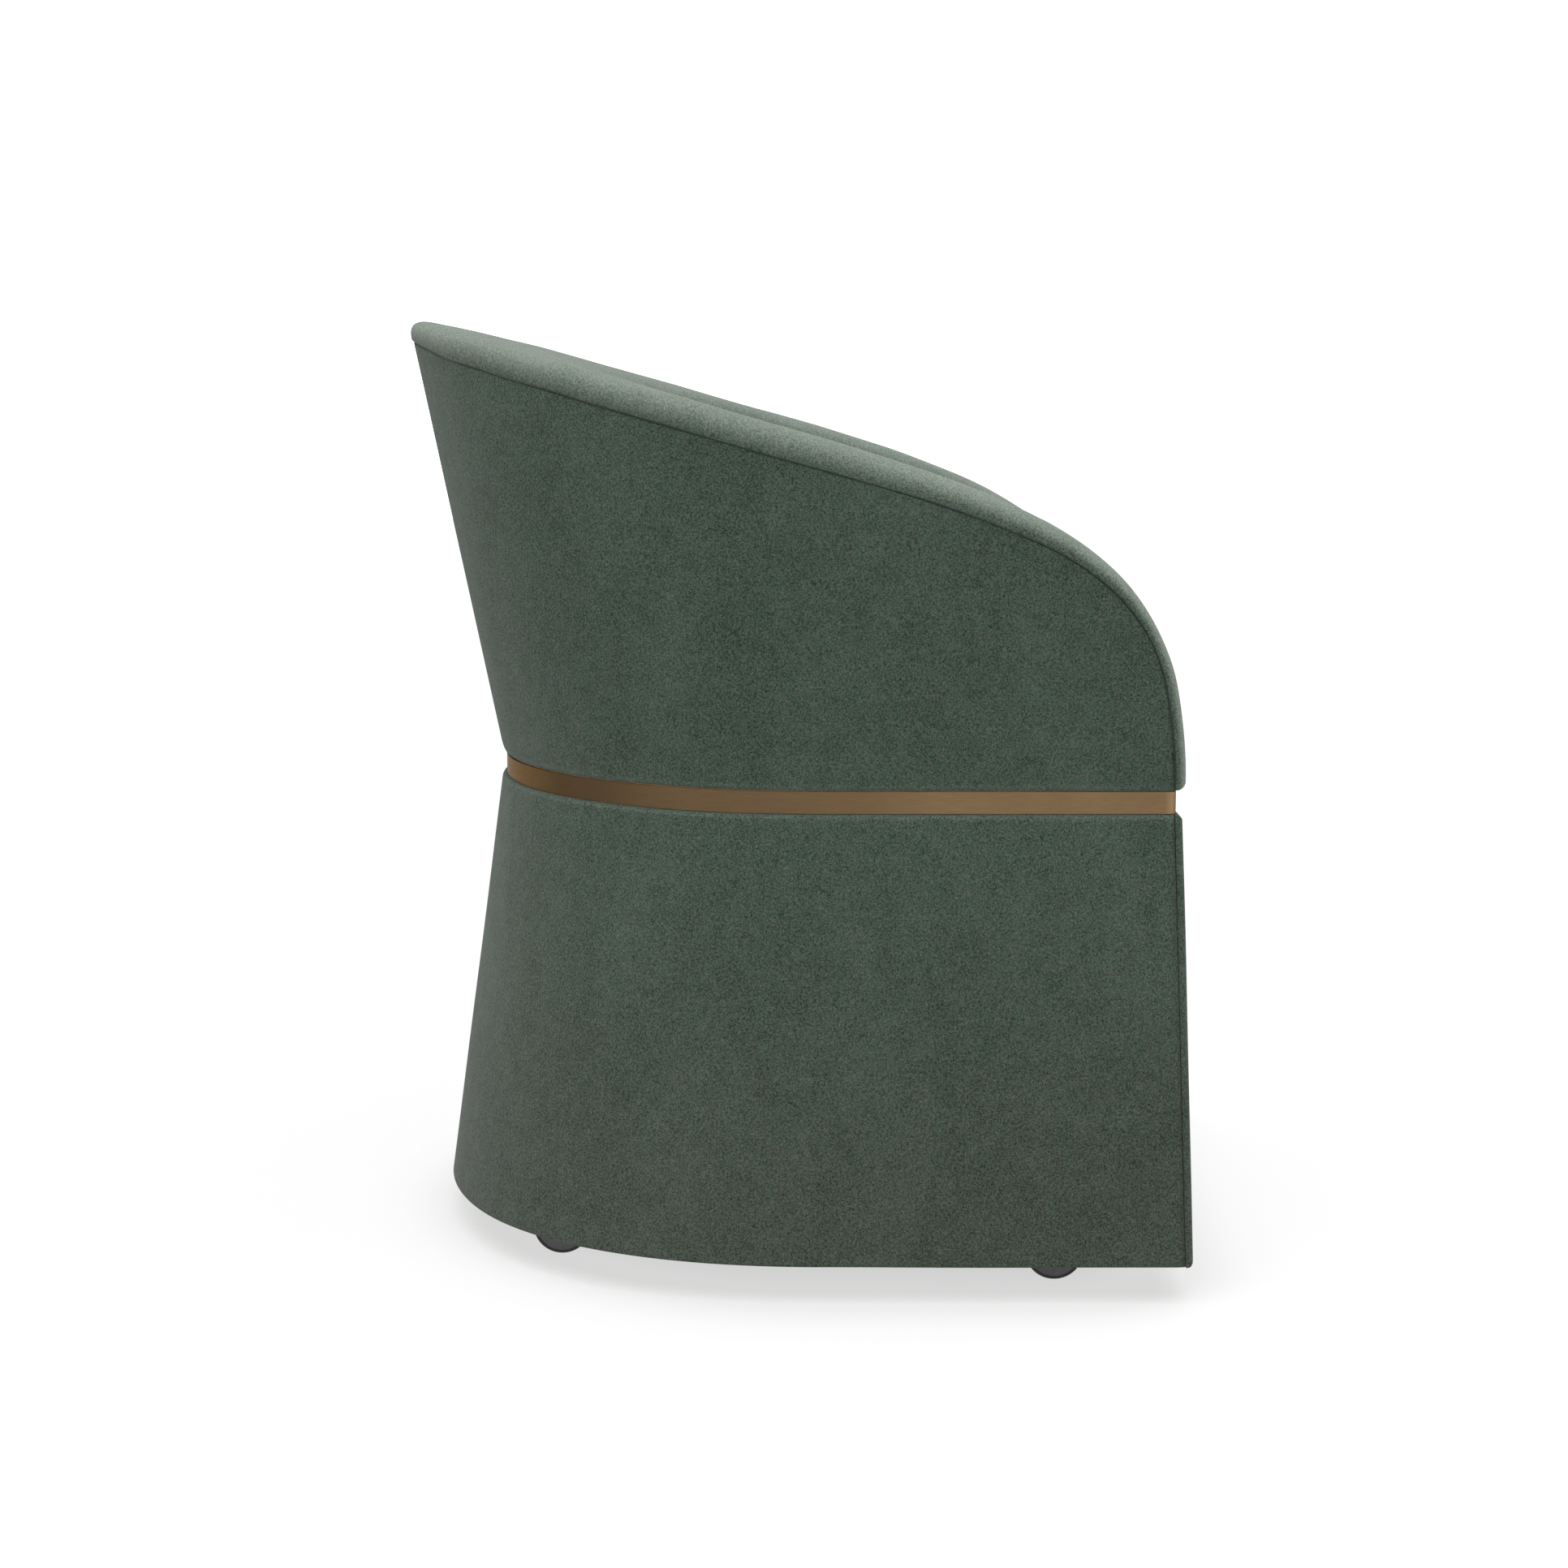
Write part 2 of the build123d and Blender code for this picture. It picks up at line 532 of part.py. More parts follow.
CASTER_HEAD_T = 2.0
SCREW_BASE_Z = CASTER_TOP - CASTER_PLATE_T
screws = [rod(x, y, SCREW_BASE_Z, BOTTOM_BOARD_Z + SCREW_L, SCREW_D)
          + rod(x, y, SCREW_BASE_Z - CASTER_HEAD_T, SCREW_BASE_Z, 7.6) for x, y in SCREW_PLACES]
save(group(screws), "caster_screws")

# ------------------------------------------------------------------ casters
HOOD_R_IN = WHEEL_R + 1.8
HOOD_R_OUT = WHEEL_R + 4.2
HOOD_HALF = 20.0
BOSS_R = 9.0
BOSS_LOW = 49.5
BOSS_HIGH = CASTER_TOP - CASTER_PLATE_T - 0.8
PIN_LOW = BOSS_LOW + 2.0


def caster_plate(cx, cy):
    """Steel top plate with its riveted kingpin."""
    plate = Pos(cx, cy, CASTER_TOP - CASTER_PLATE_T / 2) * Box(CASTER_PLATE, CASTER_PLATE,
                                                               CASTER_PLATE_T)
    plate = fillet(plate.edges().filter_by(Axis.Z), 4)
    for i in (-1, 1):
        for j in (-1, 1):
            plate -= rod(cx + i * CASTER_SCREW, cy + j * CASTER_SCREW, 50, 70, SCREW_D)
    plate += rod(cx, cy, PIN_LOW, SCREW_BASE_Z, KINGPIN_D)
    return plate


def caster_hood(cx, cy):
    """Swivelling body: boss for the kingpin, web between the wheels, hood."""
    wy = cy + CASTER_TRAIL
    hood_x = Plane((cx, wy, WHEEL_R), x_dir=(0, 1, 0), z_dir=(1, 0, 0))
    web = extrude(hood_x * Circle(WHEEL_R - 3), CHEEK_T / 2, both=True)
    web -= block(cx - 20, cx + 20, wy - 40, wy + 40, 0, WHEEL_R - 9)
    ring = extrude(hood_x * (Circle(HOOD_R_OUT) - Circle(HOOD_R_IN)), HOOD_HALF, both=True)
    ring &= block(cx - 30, cx + 30, wy - 40, wy + 40, WHEEL_R + 6, 80)
    rib = extrude(hood_x * Circle(HOOD_R_IN + 1), CHEEK_T / 2, both=True)
    rib &= block(cx - 30, cx + 30, wy - 40, wy + 40, WHEEL_R + 6, 80)
    boss = rod(cx, cy, BOSS_LOW, BOSS_HIGH, 2 * BOSS_R)
    neck = block(cx - CHEEK_T / 2, cx + CHEEK_T / 2, cy - BOSS_R + 1, wy - 4, 38, BOSS_HIGH)
    hood = web + ring + rib + boss + neck
    hood -= rod(cx, cy, PIN_LOW - 1, 80, KINGPIN_D + 2 * RUN_CLEAR)
    bore = extrude(hood_x * Circle(AXLE_D / 2), 40, both=True)
    return hood - bore


def caster_axle(cx, cy):
    axle = Plane((cx, cy + CASTER_TRAIL, WHEEL_R), z_dir=(1, 0, 0)) * Cylinder(AXLE_D / 2, 38)
    return chamfer(axle.edges(), 0.6)


def spun(points, cx, cy, side):
    """Solid turned about the wheel's axis from (distance out, radius) points."""
    place = Plane((cx, cy + CASTER_TRAIL, WHEEL_R), x_dir=(side, 0, 0), z_dir=(0, -side, 0))
    face = make_face(Polyline(*points, close=True).edges())
    return revolve(place * face, Axis((cx, cy + CASTER_TRAIL, WHEEL_R), (1, 0, 0)))


def caster_wheel(cx, cy, side):
    """Moulded wheel: dished disc with a domed outer face and a blind bore."""
    near = CHEEK_T / 2 + WHEEL_GAP
    bore = AXLE_D / 2 + RUN_CLEAR
    rim = WHEEL_R - TREAD_T
    dome = [(WHEEL_OUT - 4.4 * (k / 8) ** 2.2, rim * k / 8) for k in range(0, 9)]
    inner = [(near, rim), (near, rim - 2.4), (WHEEL_OUT - 7.4, rim - 3.4),
             (WHEEL_OUT - 5.8, 6.5), (near, 6.5), (near, bore), (19.6, bore), (19.6, 0)]
    return spun(dome + inner, cx, cy, side)


def caster_tread(cx, cy, side):
    """Soft tyre moulded around the wheel's rim, with rounded shoulders."""
    near = CHEEK_T / 2 + WHEEL_GAP
    rim = WHEEL_R - TREAD_T
    far = WHEEL_OUT - 4.4
    points = [(near, rim), (near, WHEEL_R - 1.2), (near + 1.2, WHEEL_R), (far - 1.6, WHEEL_R),
              (far - 0.5, WHEEL_R - 0.5), (far, WHEEL_R - 1.6), (far, rim)]
    return spun(points, cx, cy, side)


for name, (cx, cy) in CASTERS.items():
    save(caster_plate(cx, cy), "caster_" + name + "_plate")
    save(caster_hood(cx, cy), "caster_" + name + "_hood")
    save(caster_axle(cx, cy), "caster_" + name + "_axle")
    for tag, side in (("a", 1), ("b", -1)):
        save(caster_wheel(cx, cy, side), "caster_" + name + "_wheel_" + tag)
        save(caster_tread(cx, cy, side), "caster_" + name + "_tread_" + tag)
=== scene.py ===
import json
import math

import bmesh
import bpy
import numpy as np
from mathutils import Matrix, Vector, noise


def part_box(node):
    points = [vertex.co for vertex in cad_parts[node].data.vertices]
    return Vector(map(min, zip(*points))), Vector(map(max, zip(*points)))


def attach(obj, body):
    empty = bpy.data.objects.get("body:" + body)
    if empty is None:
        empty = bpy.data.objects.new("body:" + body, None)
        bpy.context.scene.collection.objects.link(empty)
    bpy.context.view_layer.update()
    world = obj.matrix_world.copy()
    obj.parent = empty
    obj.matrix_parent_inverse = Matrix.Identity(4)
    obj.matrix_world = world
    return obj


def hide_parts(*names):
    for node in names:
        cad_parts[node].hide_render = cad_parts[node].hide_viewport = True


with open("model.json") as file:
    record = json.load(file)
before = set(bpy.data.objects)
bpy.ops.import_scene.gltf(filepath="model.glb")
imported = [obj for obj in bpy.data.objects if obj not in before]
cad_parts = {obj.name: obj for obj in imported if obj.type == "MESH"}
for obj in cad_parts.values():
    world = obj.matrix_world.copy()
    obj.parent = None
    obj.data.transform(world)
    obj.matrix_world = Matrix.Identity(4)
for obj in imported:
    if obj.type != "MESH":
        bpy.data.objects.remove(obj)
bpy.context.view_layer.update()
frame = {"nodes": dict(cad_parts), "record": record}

# ------------------------------------------------------------------ geometry
# The chair's walls, as in the CAD model. Each is its two levels, then its half
# width, its rear y and its back's squareness at both. Their sides are straight
# in front of SPRING_Y and rounded behind it.
SKIRT_Z, BASE_TOP, WAIST_TOP, SHELL_TOP = 0.031, 0.406, 0.426, 0.803
SPRING_Y = -0.028
BASE = (SKIRT_Z, BASE_TOP, 0.3235, 0.2790, 0.3150, 0.2632, 2.16, 2.0)
SHELL = (WAIST_TOP, SHELL_TOP, 0.2785, 0.3000, 0.2623, 0.3389, 2.0, 2.2)
ARM_T, ROLL_PROUD = 0.054, 0.001  # the arms' thickness, and how far the roll stands out
PAD = (WAIST_TOP, SHELL_TOP, SHELL[2] - ARM_T, SHELL[3] - ARM_T, 0.150, 0.192, 2.0, 2.2)
# y of the base's front at its hem and top, and its cover's thickness
FRONT_SKIRT, FRONT_BASE_TOP, FRONT_COVER_T = -0.3380, -0.3274, 0.0066
COVER_BACK = 0.0039  # how deep the tight covers' inner faces lie in the walls
PAD_FOOT, PAD_BACK = 0.4463, 0.0284  # the inside pad's lowest z and its back's depth
# The seam below the roll rises evenly from the arms to the back, and bends down
# the arms' fronts on a cubic Bezier of (y, z) points. It lies a little higher
# round the rear.
SEAM_SLOPE = (0.8162 - 0.7031) / (0.420 - 0.0148)
SEAM_CURVE = ((0.0148, 0.7031), (-0.2396, 0.6321), (-0.3198, 0.6099), (-0.3202, 0.4263))
SEAM_LIFT, LIFT_FROM, LIFT_TO = 0.0045, 0.275, 0.345
ROLL_BACK, ROLL_FRONT = 0.0258, 0.0109  # the roll's height over the seam
REACH = 0.480  # length given to each half of the rounded back in the plan
SETTLE = 8  # rounds in which a seam height and its point settle on each other
CREASE = 0.0006  # width of the groove beside a seam


def lerp(a, b, t):
    """a at t = 0, b at t = 1."""
    return a + (b - a) * t


def smooth(t):
    """Eases from 0 at t = 0 to 1 at t = 1."""
    t = np.clip(t, 0.0, 1.0)
    return t * t * (3 - 2 * t)


def wall_point(wall, q, z, depth):
    """Points of a wall. q is the distance from the rear middle, + to the left."""
    z_low, z_high, half_low, half_high, rear_low, rear_high, square_low, square_high = wall
    q, z, depth = np.broadcast_arrays(np.asarray(q, float), z, depth)
    t = (z - z_low) / (z_high - z_low)
    half = lerp(half_low, half_high, t) - depth
    deep = lerp(rear_low, rear_high, t) - depth - SPRING_Y
    # the handle length of a Bezier that passes where a superellipse would
    lever = (8 * 2 ** (-1 / lerp(square_low, square_high, t)) - 4) / 3
    side = np.where(q < 0, -1.0, 1.0)
    w = np.clip(1 - np.abs(q) / REACH, 0, 1)
    ahead = np.maximum(np.abs(q) - REACH, 0)
    x = half * ((1 - w) ** 3 + 3 * (1 - w) ** 2 * w + 3 * (1 - w) * w * w * lever)
    y = deep * (3 * (1 - w) ** 2 * w * lever + 3 * (1 - w) * w * w + w ** 3)
    return np.stack([side * x, SPRING_Y + y - ahead, z], -1)


def seam_lift(y):
    """How much higher the seam lies round the rear."""
    return SEAM_LIFT * float(smooth((y - LIFT_FROM) / (LIFT_TO - LIFT_FROM)))


def seam_z(y):
    """Height of the seam over the back and the arms."""
    return SEAM_CURVE[0][1] + SEAM_SLOPE * (y - SEAM_CURVE[0][0]) + seam_lift(y)


def seam_bend(t):
    """Point and direction of the seam's bend down the arm's front."""
    p = SEAM_CURVE
    mix = ((1 - t) ** 3, 3 * (1 - t) ** 2 * t, 3 * (1 - t) * t * t, t ** 3)
    speed = (3 * (1 - t) ** 2, 6 * (1 - t) * t, 3 * t * t)
    y = sum(m * c[0] for m, c in zip(mix, p))
    z = sum(m * c[1] for m, c in zip(mix, p))
    dy = sum(m * (p[i + 1][0] - p[i][0]) for i, m in enumerate(speed))
    dz = sum(m * (p[i + 1][1] - p[i][1]) for i, m in enumerate(speed))
    return y, z, dy, dz


def seam_path(wall, depth, t_front, arm_steps, back_steps):
    """(q, z, t) of the seam on one side, from its front to the rear middle.

    t is the bend's parameter, 0 where the seam has passed it.
    """
    rows = []
    # the bend's parameter where the seam comes to the rounded back
    t_spring, t_step, most_steps = 0.0, 0.004, 40
    for _ in range(most_steps):
        if seam_bend(t_spring)[0] > SPRING_Y:
            t_spring += t_step
    # closer together within a few mm of the arm's foot
    starts = [t_front - d for d in (0, 0.0006, 0.0015, 0.003, 0.005, 0.0075, 0.0105)]
    arm = [lerp(starts[-1], t_spring, k / arm_steps) for k in range(1, arm_steps)]
    for t in starts + arm:
        y, z, _, _ = seam_bend(t)
        rows.append((REACH + SPRING_Y - y, z, t))
    for k in range(back_steps + 1):
        q = REACH * (1 - k / back_steps)
        z = 0.75  # a first guess
        for _ in range(SETTLE):
            z = float(seam_z(wall_point(wall, q, z, depth)[1]))
        rows.append((q, z, t_spring * max(0.0, 1 - 4 * k / back_steps)))
    return rows


def both_sides(rows):
    """Mirrors one side's (q, z, ...) rows into a full path, left to right."""
    return rows + [(-r[0],) + tuple(r[1:]) for r in reversed(rows[:-1])]


def add_mesh(name, verts, faces):
    """A smooth-shaded object in the scene, with its place in its mesh."""
    mesh = bpy.data.meshes.new(name)
    mesh.from_pydata([tuple(v) for v in verts], [], faces)
    mesh.validate()
    mesh.update()
    mesh.shade_smooth()
    obj = bpy.data.objects.new(name, mesh)
    bpy.context.scene.collection.objects.link(obj)
    return obj


def grid_faces(nu, nv, base=0, flip=False, wrap_v=False):
    """Quads of a grid of points numbered from base, row by row."""
    out = []
    for i in range(nu - 1):
        for j in range(nv if wrap_v else nv - 1):
            a, b = base + i * nv + j, base + i * nv + (j + 1) % nv
            c, d = base + (i + 1) * nv + (j + 1) % nv, base + (i + 1) * nv + j
            out.append((a, d, c, b) if flip else (a, b, c, d))
    return out


def closed_shell(name, outer, inner):
    """Solid skin between two grids of the same size, joined along all edges."""
    nu, nv = outer.shape[:2]
    verts = np.concatenate([outer.reshape(-1, 3), inner.reshape(-1, 3)])
    n = nu * nv
    faces = grid_faces(nu, nv) + grid_faces(nu, nv, n, flip=True)
    rim = [i * nv for i in range(nu)] + [(nu - 1) * nv + j for j in range(1, nv)]
    rim += [i * nv + nv - 1 for i in range(nu - 2, -1, -1)] + list(range(nv - 2, 0, -1))
    for k, a in enumerate(rim):
        b = rim[(k + 1) % len(rim)]
        faces.append((a, b, b + n, a + n))
    obj = add_mesh(name, verts, faces)
    outward(obj)
    return obj


def outward(obj):
    """Turns all faces outward."""
    bm = bmesh.new()
    bm.from_mesh(obj.data)
    bmesh.ops.recalc_face_normals(bm, faces=bm.faces)
    bm.to_mesh(obj.data)
    bm.free()
    obj.data.update()


def soft(points, amount, size, seed):
    """Small slow unevenness of hand-pulled cloth, along x, y and z."""
    flat = points.reshape(-1, 3)
    out = flat.copy()
    apart = (Vector((0, 0, 0)), Vector((9, 0, 0)), Vector((0, 9, 0)))
    for i, p in enumerate(flat):
        v = Vector(p) * (1 / size) + Vector((seed, seed * 1.7, -seed))
        out[i] += amount * np.array([noise.noise(v + shift) for shift in apart])
    return out.reshape(points.shape)


def paint(obj, name, values):
    """Gives each point of the mesh a number that the velvet reads."""
    layer = obj.data.attributes.new(name, "FLOAT", "POINT")
    layer.data.foreach_set("value", np.asarray(values, np.float32).reshape(-1))


# ----------------------------------------------------------------- materials
def new_material(name):
    mat = bpy.data.materials.new(name)
    mat.use_nodes = True
    tree = mat.node_tree
    shader = next(n for n in tree.nodes if n.type == "BSDF_PRINCIPLED")
    return mat, tree, shader


def link(tree, a, b):
    tree.links.new(a, b)


def place_vector(tree):
    """Where a point lies, in metres, in the object's own frame."""
    return tree.nodes.new("ShaderNodeTexCoord").outputs["Object"]


def place_axes(tree):
    """The same as three separate numbers, outputs X, Y and Z."""
    split = tree.nodes.new("ShaderNodeSeparateXYZ")
    link(tree, place_vector(tree), split.inputs["Vector"])
    return split.outputs


def tex_noise(tree, scale, detail, rough, stretch=None, distort=0.0):
    """Noise of the given scale per metre."""
    source = place_vector(tree)
    if stretch is not None:
        mapping = tree.nodes.new("ShaderNodeMapping")
        mapping.inputs["Scale"].default_value = stretch
        link(tree, source, mapping.inputs["Vector"])
        source = mapping.outputs["Vector"]
    node = tree.nodes.new("ShaderNodeTexNoise")
    node.inputs["Scale"].default_value = scale
    node.inputs["Detail"].default_value = detail
    node.inputs["Roughness"].default_value = rough
    node.inputs["Distortion"].default_value = distort
    link(tree, source, node.inputs["Vector"])
    return node.outputs["Fac"]


def remap(tree, value, low, high, out_low=0.0, out_high=1.0):
    """Takes low to high on to out_low to out_high, and stops at both."""
    node = tree.nodes.new("ShaderNodeMapRange")
    node.inputs["From Min"].default_value = low
    node.inputs["From Max"].default_value = high
    node.inputs["To Min"].default_value = out_low
    node.inputs["To Max"].default_value = out_high
    link(tree, value, node.inputs["Value"])
    return node.outputs["Result"]


def math_node(tree, op, a, b):
    node = tree.nodes.new("ShaderNodeMath")
    node.operation = op
    for socket, value in zip(node.inputs, (a, b)):
        if isinstance(value, (int, float)):
            socket.default_value = value
        else:
            link(tree, value, socket)
    return node.outputs[0]


def length(tree, a, b):
    """Length of the vector (a, b)."""
    squares = math_node(tree, "ADD", math_node(tree, "MULTIPLY", a, a),
                        math_node(tree, "MULTIPLY", b, b))
    return math_node(tree, "SQRT", squares, 0.0)


def mix_color(tree, fac, a, b, blend="MIX"):
    node = tree.nodes.new("ShaderNodeMix")
    node.data_type = "RGBA"
    node.blend_type = blend
    if isinstance(fac, (int, float)):
        node.inputs[0].default_value = fac
    else:
        link(tree, fac, node.inputs[0])
    # its colour sockets A and B, since it also has others for numbers and vectors
    for socket, value in ((node.inputs[6], a), (node.inputs[7], b)):
        if isinstance(value, tuple):
            socket.default_value = value + (1.0,)
        else:
            link(tree, value, socket)
    return node.outputs[2]


def bump(tree, shader, height, strength, distance):
    node = tree.nodes.new("ShaderNodeBump")
    node.inputs["Strength"].default_value = strength
    node.inputs["Distance"].default_value = distance
    link(tree, height, node.inputs["Height"])
    link(tree, node.outputs["Normal"], shader.inputs["Normal"])


def velvet_material():
    """Short pile: dark roots, lighter tips, brushed clouds and a soft sheen.

    tone adds up four noises by their shares, from shade at 0 to light at 1.
    One mesh attribute is painted light: it lightens the colour where the surface faces up,
    and in thin highlight lines along edges. Another is painted shade in the seams.
    """
    mat, tree, shader = new_material("velvet")
    grain = tex_noise(tree, 1250, 1.0, 0.5)
    tufts = tex_noise(tree, 560, 3.0, 0.65)
    clumps = tex_noise(tree, 55, 4.0, 0.62)
    brushed = tex_noise(tree, 7, 3.0, 0.55, stretch=(1.0, 1.0, 0.5), distort=0.8)
    tone = math_node(tree, "MULTIPLY", remap(tree, tufts, 0.36, 0.64), 0.56)
    tone = math_node(tree, "SUBTRACT", tone, 0.17)
    for pattern, low, high, share in ((grain, 0.36, 0.64, 0.52), (clumps, 0.34, 0.66, 0.12),
                                      (brushed, 0.34, 0.66, 0.13)):
        pattern = math_node(tree, "MULTIPLY", remap(tree, pattern, low, high), share)
        tone = math_node(tree, "ADD", tone, pattern)
    fleck = tex_noise(tree, 260, 2.0, 0.5, distort=0.3)
    hue = remap(tree, fleck, 0.35, 0.65)
    shade = mix_color(tree, hue, (0.006, 0.019, 0.009), (0.014, 0.019, 0.014))
    light = mix_color(tree, hue, (0.082, 0.124, 0.090), (0.097, 0.124, 0.102))
    color = mix_color(tree, tone, shade, light)
    # painted light read from the mesh: lightens and greys the colour where the surface faces up,
    # and in thin highlight lines
    painted_light = tree.nodes.new("ShaderNodeAttribute")
    painted_light.attribute_name = "painted_light"
    gain = mix_color(tree, painted_light.outputs["Fac"], (1.0, 1.0, 1.0), (2.95, 2.48, 2.74))
    color = mix_color(tree, 1.0, color, gain, "MULTIPLY")
    color = mix_color(tree, math_node(tree, "MULTIPLY", painted_light.outputs["Fac"], 0.42), color,
                      (0.140, 0.172, 0.144))
    # painted shade read from the mesh: darkens the colour in the seams
    painted_seam_shade = tree.nodes.new("ShaderNodeAttribute")
    painted_seam_shade.attribute_name = "painted_seam_shade"
    color = mix_color(tree, painted_seam_shade.outputs["Fac"], color, (0.014, 0.020, 0.016))
    # a little greyer towards the hem
    grey = mix_color(tree, remap(tree, place_axes(tree)["Z"], 0.38, 0.05), (1.0, 1.0, 1.0),
                     (0.99, 0.870, 0.900))
    color = mix_color(tree, 1.0, color, grey, "MULTIPLY")
    link(tree, color, shader.inputs["Base Color"])
    shader.inputs["Roughness"].default_value = 0.95
    shader.inputs["Specular IOR Level"].default_value = 0.08
    shader.inputs["Sheen Weight"].default_value = 0.13
    shader.inputs["Sheen Roughness"].default_value = 0.45
    shader.inputs["Sheen Tint"].default_value = (1.0, 0.95, 0.98, 1.0)
    pile = math_node(tree, "ADD", tufts, math_node(tree, "MULTIPLY", clumps, 0.9))
    bump(tree, shader, pile, 0.9, 0.0014)
    return mat


def bronze_material():
    """Satin bronze, brushed along the band."""
    mat, tree, shader = new_material("bronze")
    lines = tex_noise(tree, 900, 3.0, 0.6, stretch=(0.06, 0.06, 1.0))
    cloud = tex_noise(tree, 14, 3.0, 0.55)
    color = mix_color(tree, remap(tree, cloud, 0.35, 0.65), (0.222, 0.145, 0.075),
                      (0.246, 0.163, 0.085))
    color = mix_color(tree, remap(tree, lines, 0.35, 0.65, 0.0, 0.22), color,
                      (0.14, 0.090, 0.048))
    # painted dark reflection, darker round the sides of the back
    along = place_axes(tree)["Y"]
    painted_dark_reflection = math_node(tree, "MULTIPLY", remap(tree, along, -0.15, 0.16, 0.0, 0.88),
                       remap(tree, along, 0.20, 0.25, 1.0, 0.3))
    color = mix_color(tree, painted_dark_reflection, color, (0.070, 0.045, 0.024))
    # and a painted highlight just behind the front corners, where the band turns round them
    front = float(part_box("waist_band")[0][1])
    painted_corner_highlight = math_node(tree, "MULTIPLY",
                       remap(tree, along, front + 0.0016, front + 0.0036),
                       remap(tree, along, front + 0.0040, front + 0.0095, 0.95, 0.0))
    color = mix_color(tree, painted_corner_highlight, color, (0.330, 0.222, 0.118))
    link(tree, color, shader.inputs["Base Color"])
    shader.inputs["Metallic"].default_value = 1.0
    shader.inputs["Specular Tint"].default_value = (0.60, 0.52, 0.45, 1.0)
    link(tree, remap(tree, lines, 0.3, 0.7, 0.34, 0.46), shader.inputs["Roughness"])
    bump(tree, shader, lines, 0.12, 0.0002)
    return mat


def plastic_material(name, dark, light, rough, grain_scale):
    """Moulded surface with a fine grain and light scuffs."""
    mat, tree, shader = new_material(name)
    grain = tex_noise(tree, grain_scale, 2.0, 0.5)
    scuff = tex_noise(tree, 60, 5.0, 0.65, distort=0.8)
    link(tree, mix_color(tree, remap(tree, scuff, 0.4, 0.72), dark, light),
         shader.inputs["Base Color"])
    link(tree, remap(tree, scuff, 0.35, 0.7, rough - 0.07, rough + 0.1),
         shader.inputs["Roughness"])
    bump(tree, shader, grain, 0.25, 0.00015)
    return mat


def steel_material():
    """Zinc plate with a faint spangle."""
    mat, tree, shader = new_material("zinc_steel")
    spangle = tex_noise(tree, 120, 4.0, 0.6, distort=1.5)
    link(tree, mix_color(tree, remap(tree, spangle, 0.35, 0.65), (0.42, 0.43, 0.45),
                         (0.62, 0.62, 0.63)), shader.inputs["Base Color"])
    shader.inputs["Metallic"].default_value = 1.0
    link(tree, remap(tree, spangle, 0.3, 0.7, 0.28, 0.48), shader.inputs["Roughness"])
    bump(tree, shader, spangle, 0.08, 0.0003)
    return mat


def plywood_material():
    """Wood grain on the faces, with darker plies."""
    mat, tree, shader = new_material("plywood")
    grain = tex_noise(tree, 40, 5.0, 0.6, stretch=(3.0, 0.35, 3.0), distort=0.7)
    plies = tree.nodes.new("ShaderNodeTexWave")
    plies.wave_type = "BANDS"
    plies.bands_direction = "Z"
    plies.inputs["Scale"].default_value = 90.0
    plies.inputs["Distortion"].default_value = 1.2
    link(tree, place_vector(tree), plies.inputs["Vector"])
    color = mix_color(tree, remap(tree, grain, 0.3, 0.7), (0.42, 0.27, 0.14),
                      (0.66, 0.47, 0.28))
    color = mix_color(tree, remap(tree, plies.outputs["Fac"], 0.5, 0.75, 0.0, 0.3), color,
                      (0.24, 0.14, 0.07))
    link(tree, color, shader.inputs["Base Color"])
    shader.inputs["Roughness"].default_value = 0.75
    bump(tree, shader, grain, 0.3, 0.0006)
    return mat


def cloth_material(name, dark, light, pitch):
    """Plain weave: two crossed bands, each a thread of the given pitch wide."""
    mat, tree, shader = new_material(name)
    threads = []
    for direction in ("X", "Y"):
        wave = tree.nodes.new("ShaderNodeTexWave")
        wave.bands_direction = direction
        wave.inputs["Scale"].default_value = 0.5 / pitch / 3.14
        wave.inputs["Distortion"].default_value = 0.6
        link(tree, place_vector(tree), wave.inputs["Vector"])
        threads.append(wave.outputs["Fac"])
    weave = math_node(tree, "MULTIPLY", threads[0], threads[1])
    fuzz = tex_noise(tree, 300, 3.0, 0.6)
    tone = math_node(tree, "ADD", math_node(tree, "MULTIPLY", weave, 0.7),
                     math_node(tree, "MULTIPLY", fuzz, 0.3))
    link(tree, mix_color(tree, tone, dark, light), shader.inputs["Base Color"])
    shader.inputs["Roughness"].default_value = 0.9
    bump(tree, shader, weave, 0.4, 0.0004)
    return mat


VELVET = velvet_material()
BRONZE = bronze_material()
STEEL = steel_material()
PLYWOOD = plywood_material()
HUB = plastic_material("caster_plastic", (0.055, 0.056, 0.060), (0.085, 0.086, 0.092), 0.42,
                       1600)
TREAD = plastic_material("tread", (0.012, 0.012, 0.013), (0.024, 0.024, 0.026), 0.62, 700)
LINING = cloth_material("underlining", (0.008, 0.008, 0.009), (0.03, 0.03, 0.032), 0.0012)
WEBBING = cloth_material("webbing", (0.16, 0.12, 0.07), (0.42, 0.34, 0.23), 0.0025)

BY_SLOT = {"velvet": VELVET, "bronze": BRONZE, "zinc_steel": STEEL, "plywood": PLYWOOD,
           "caster_plastic": HUB, "tread": TREAD, "underlining": LINING, "webbing": WEBBING}
for part in frame["record"]["subparts"]:
    for place in frame["nodes"][part["node"]].material_slots:
        place.material = BY_SLOT[part["material_slot"]]


def finish_piece(obj, node):
    """Velvet on the chair's body, in place of a CAD node."""
    obj.data.materials.append(VELVET)
    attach(obj, "chair")
    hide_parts(node)


# --------------------------------------------------------------- base covers
def base_front(z):
    """y of the base's front at a height."""
    return lerp(FRONT_SKIRT, FRONT_BASE_TOP, (z - SKIRT_Z) / (BASE_TOP - SKIRT_Z))


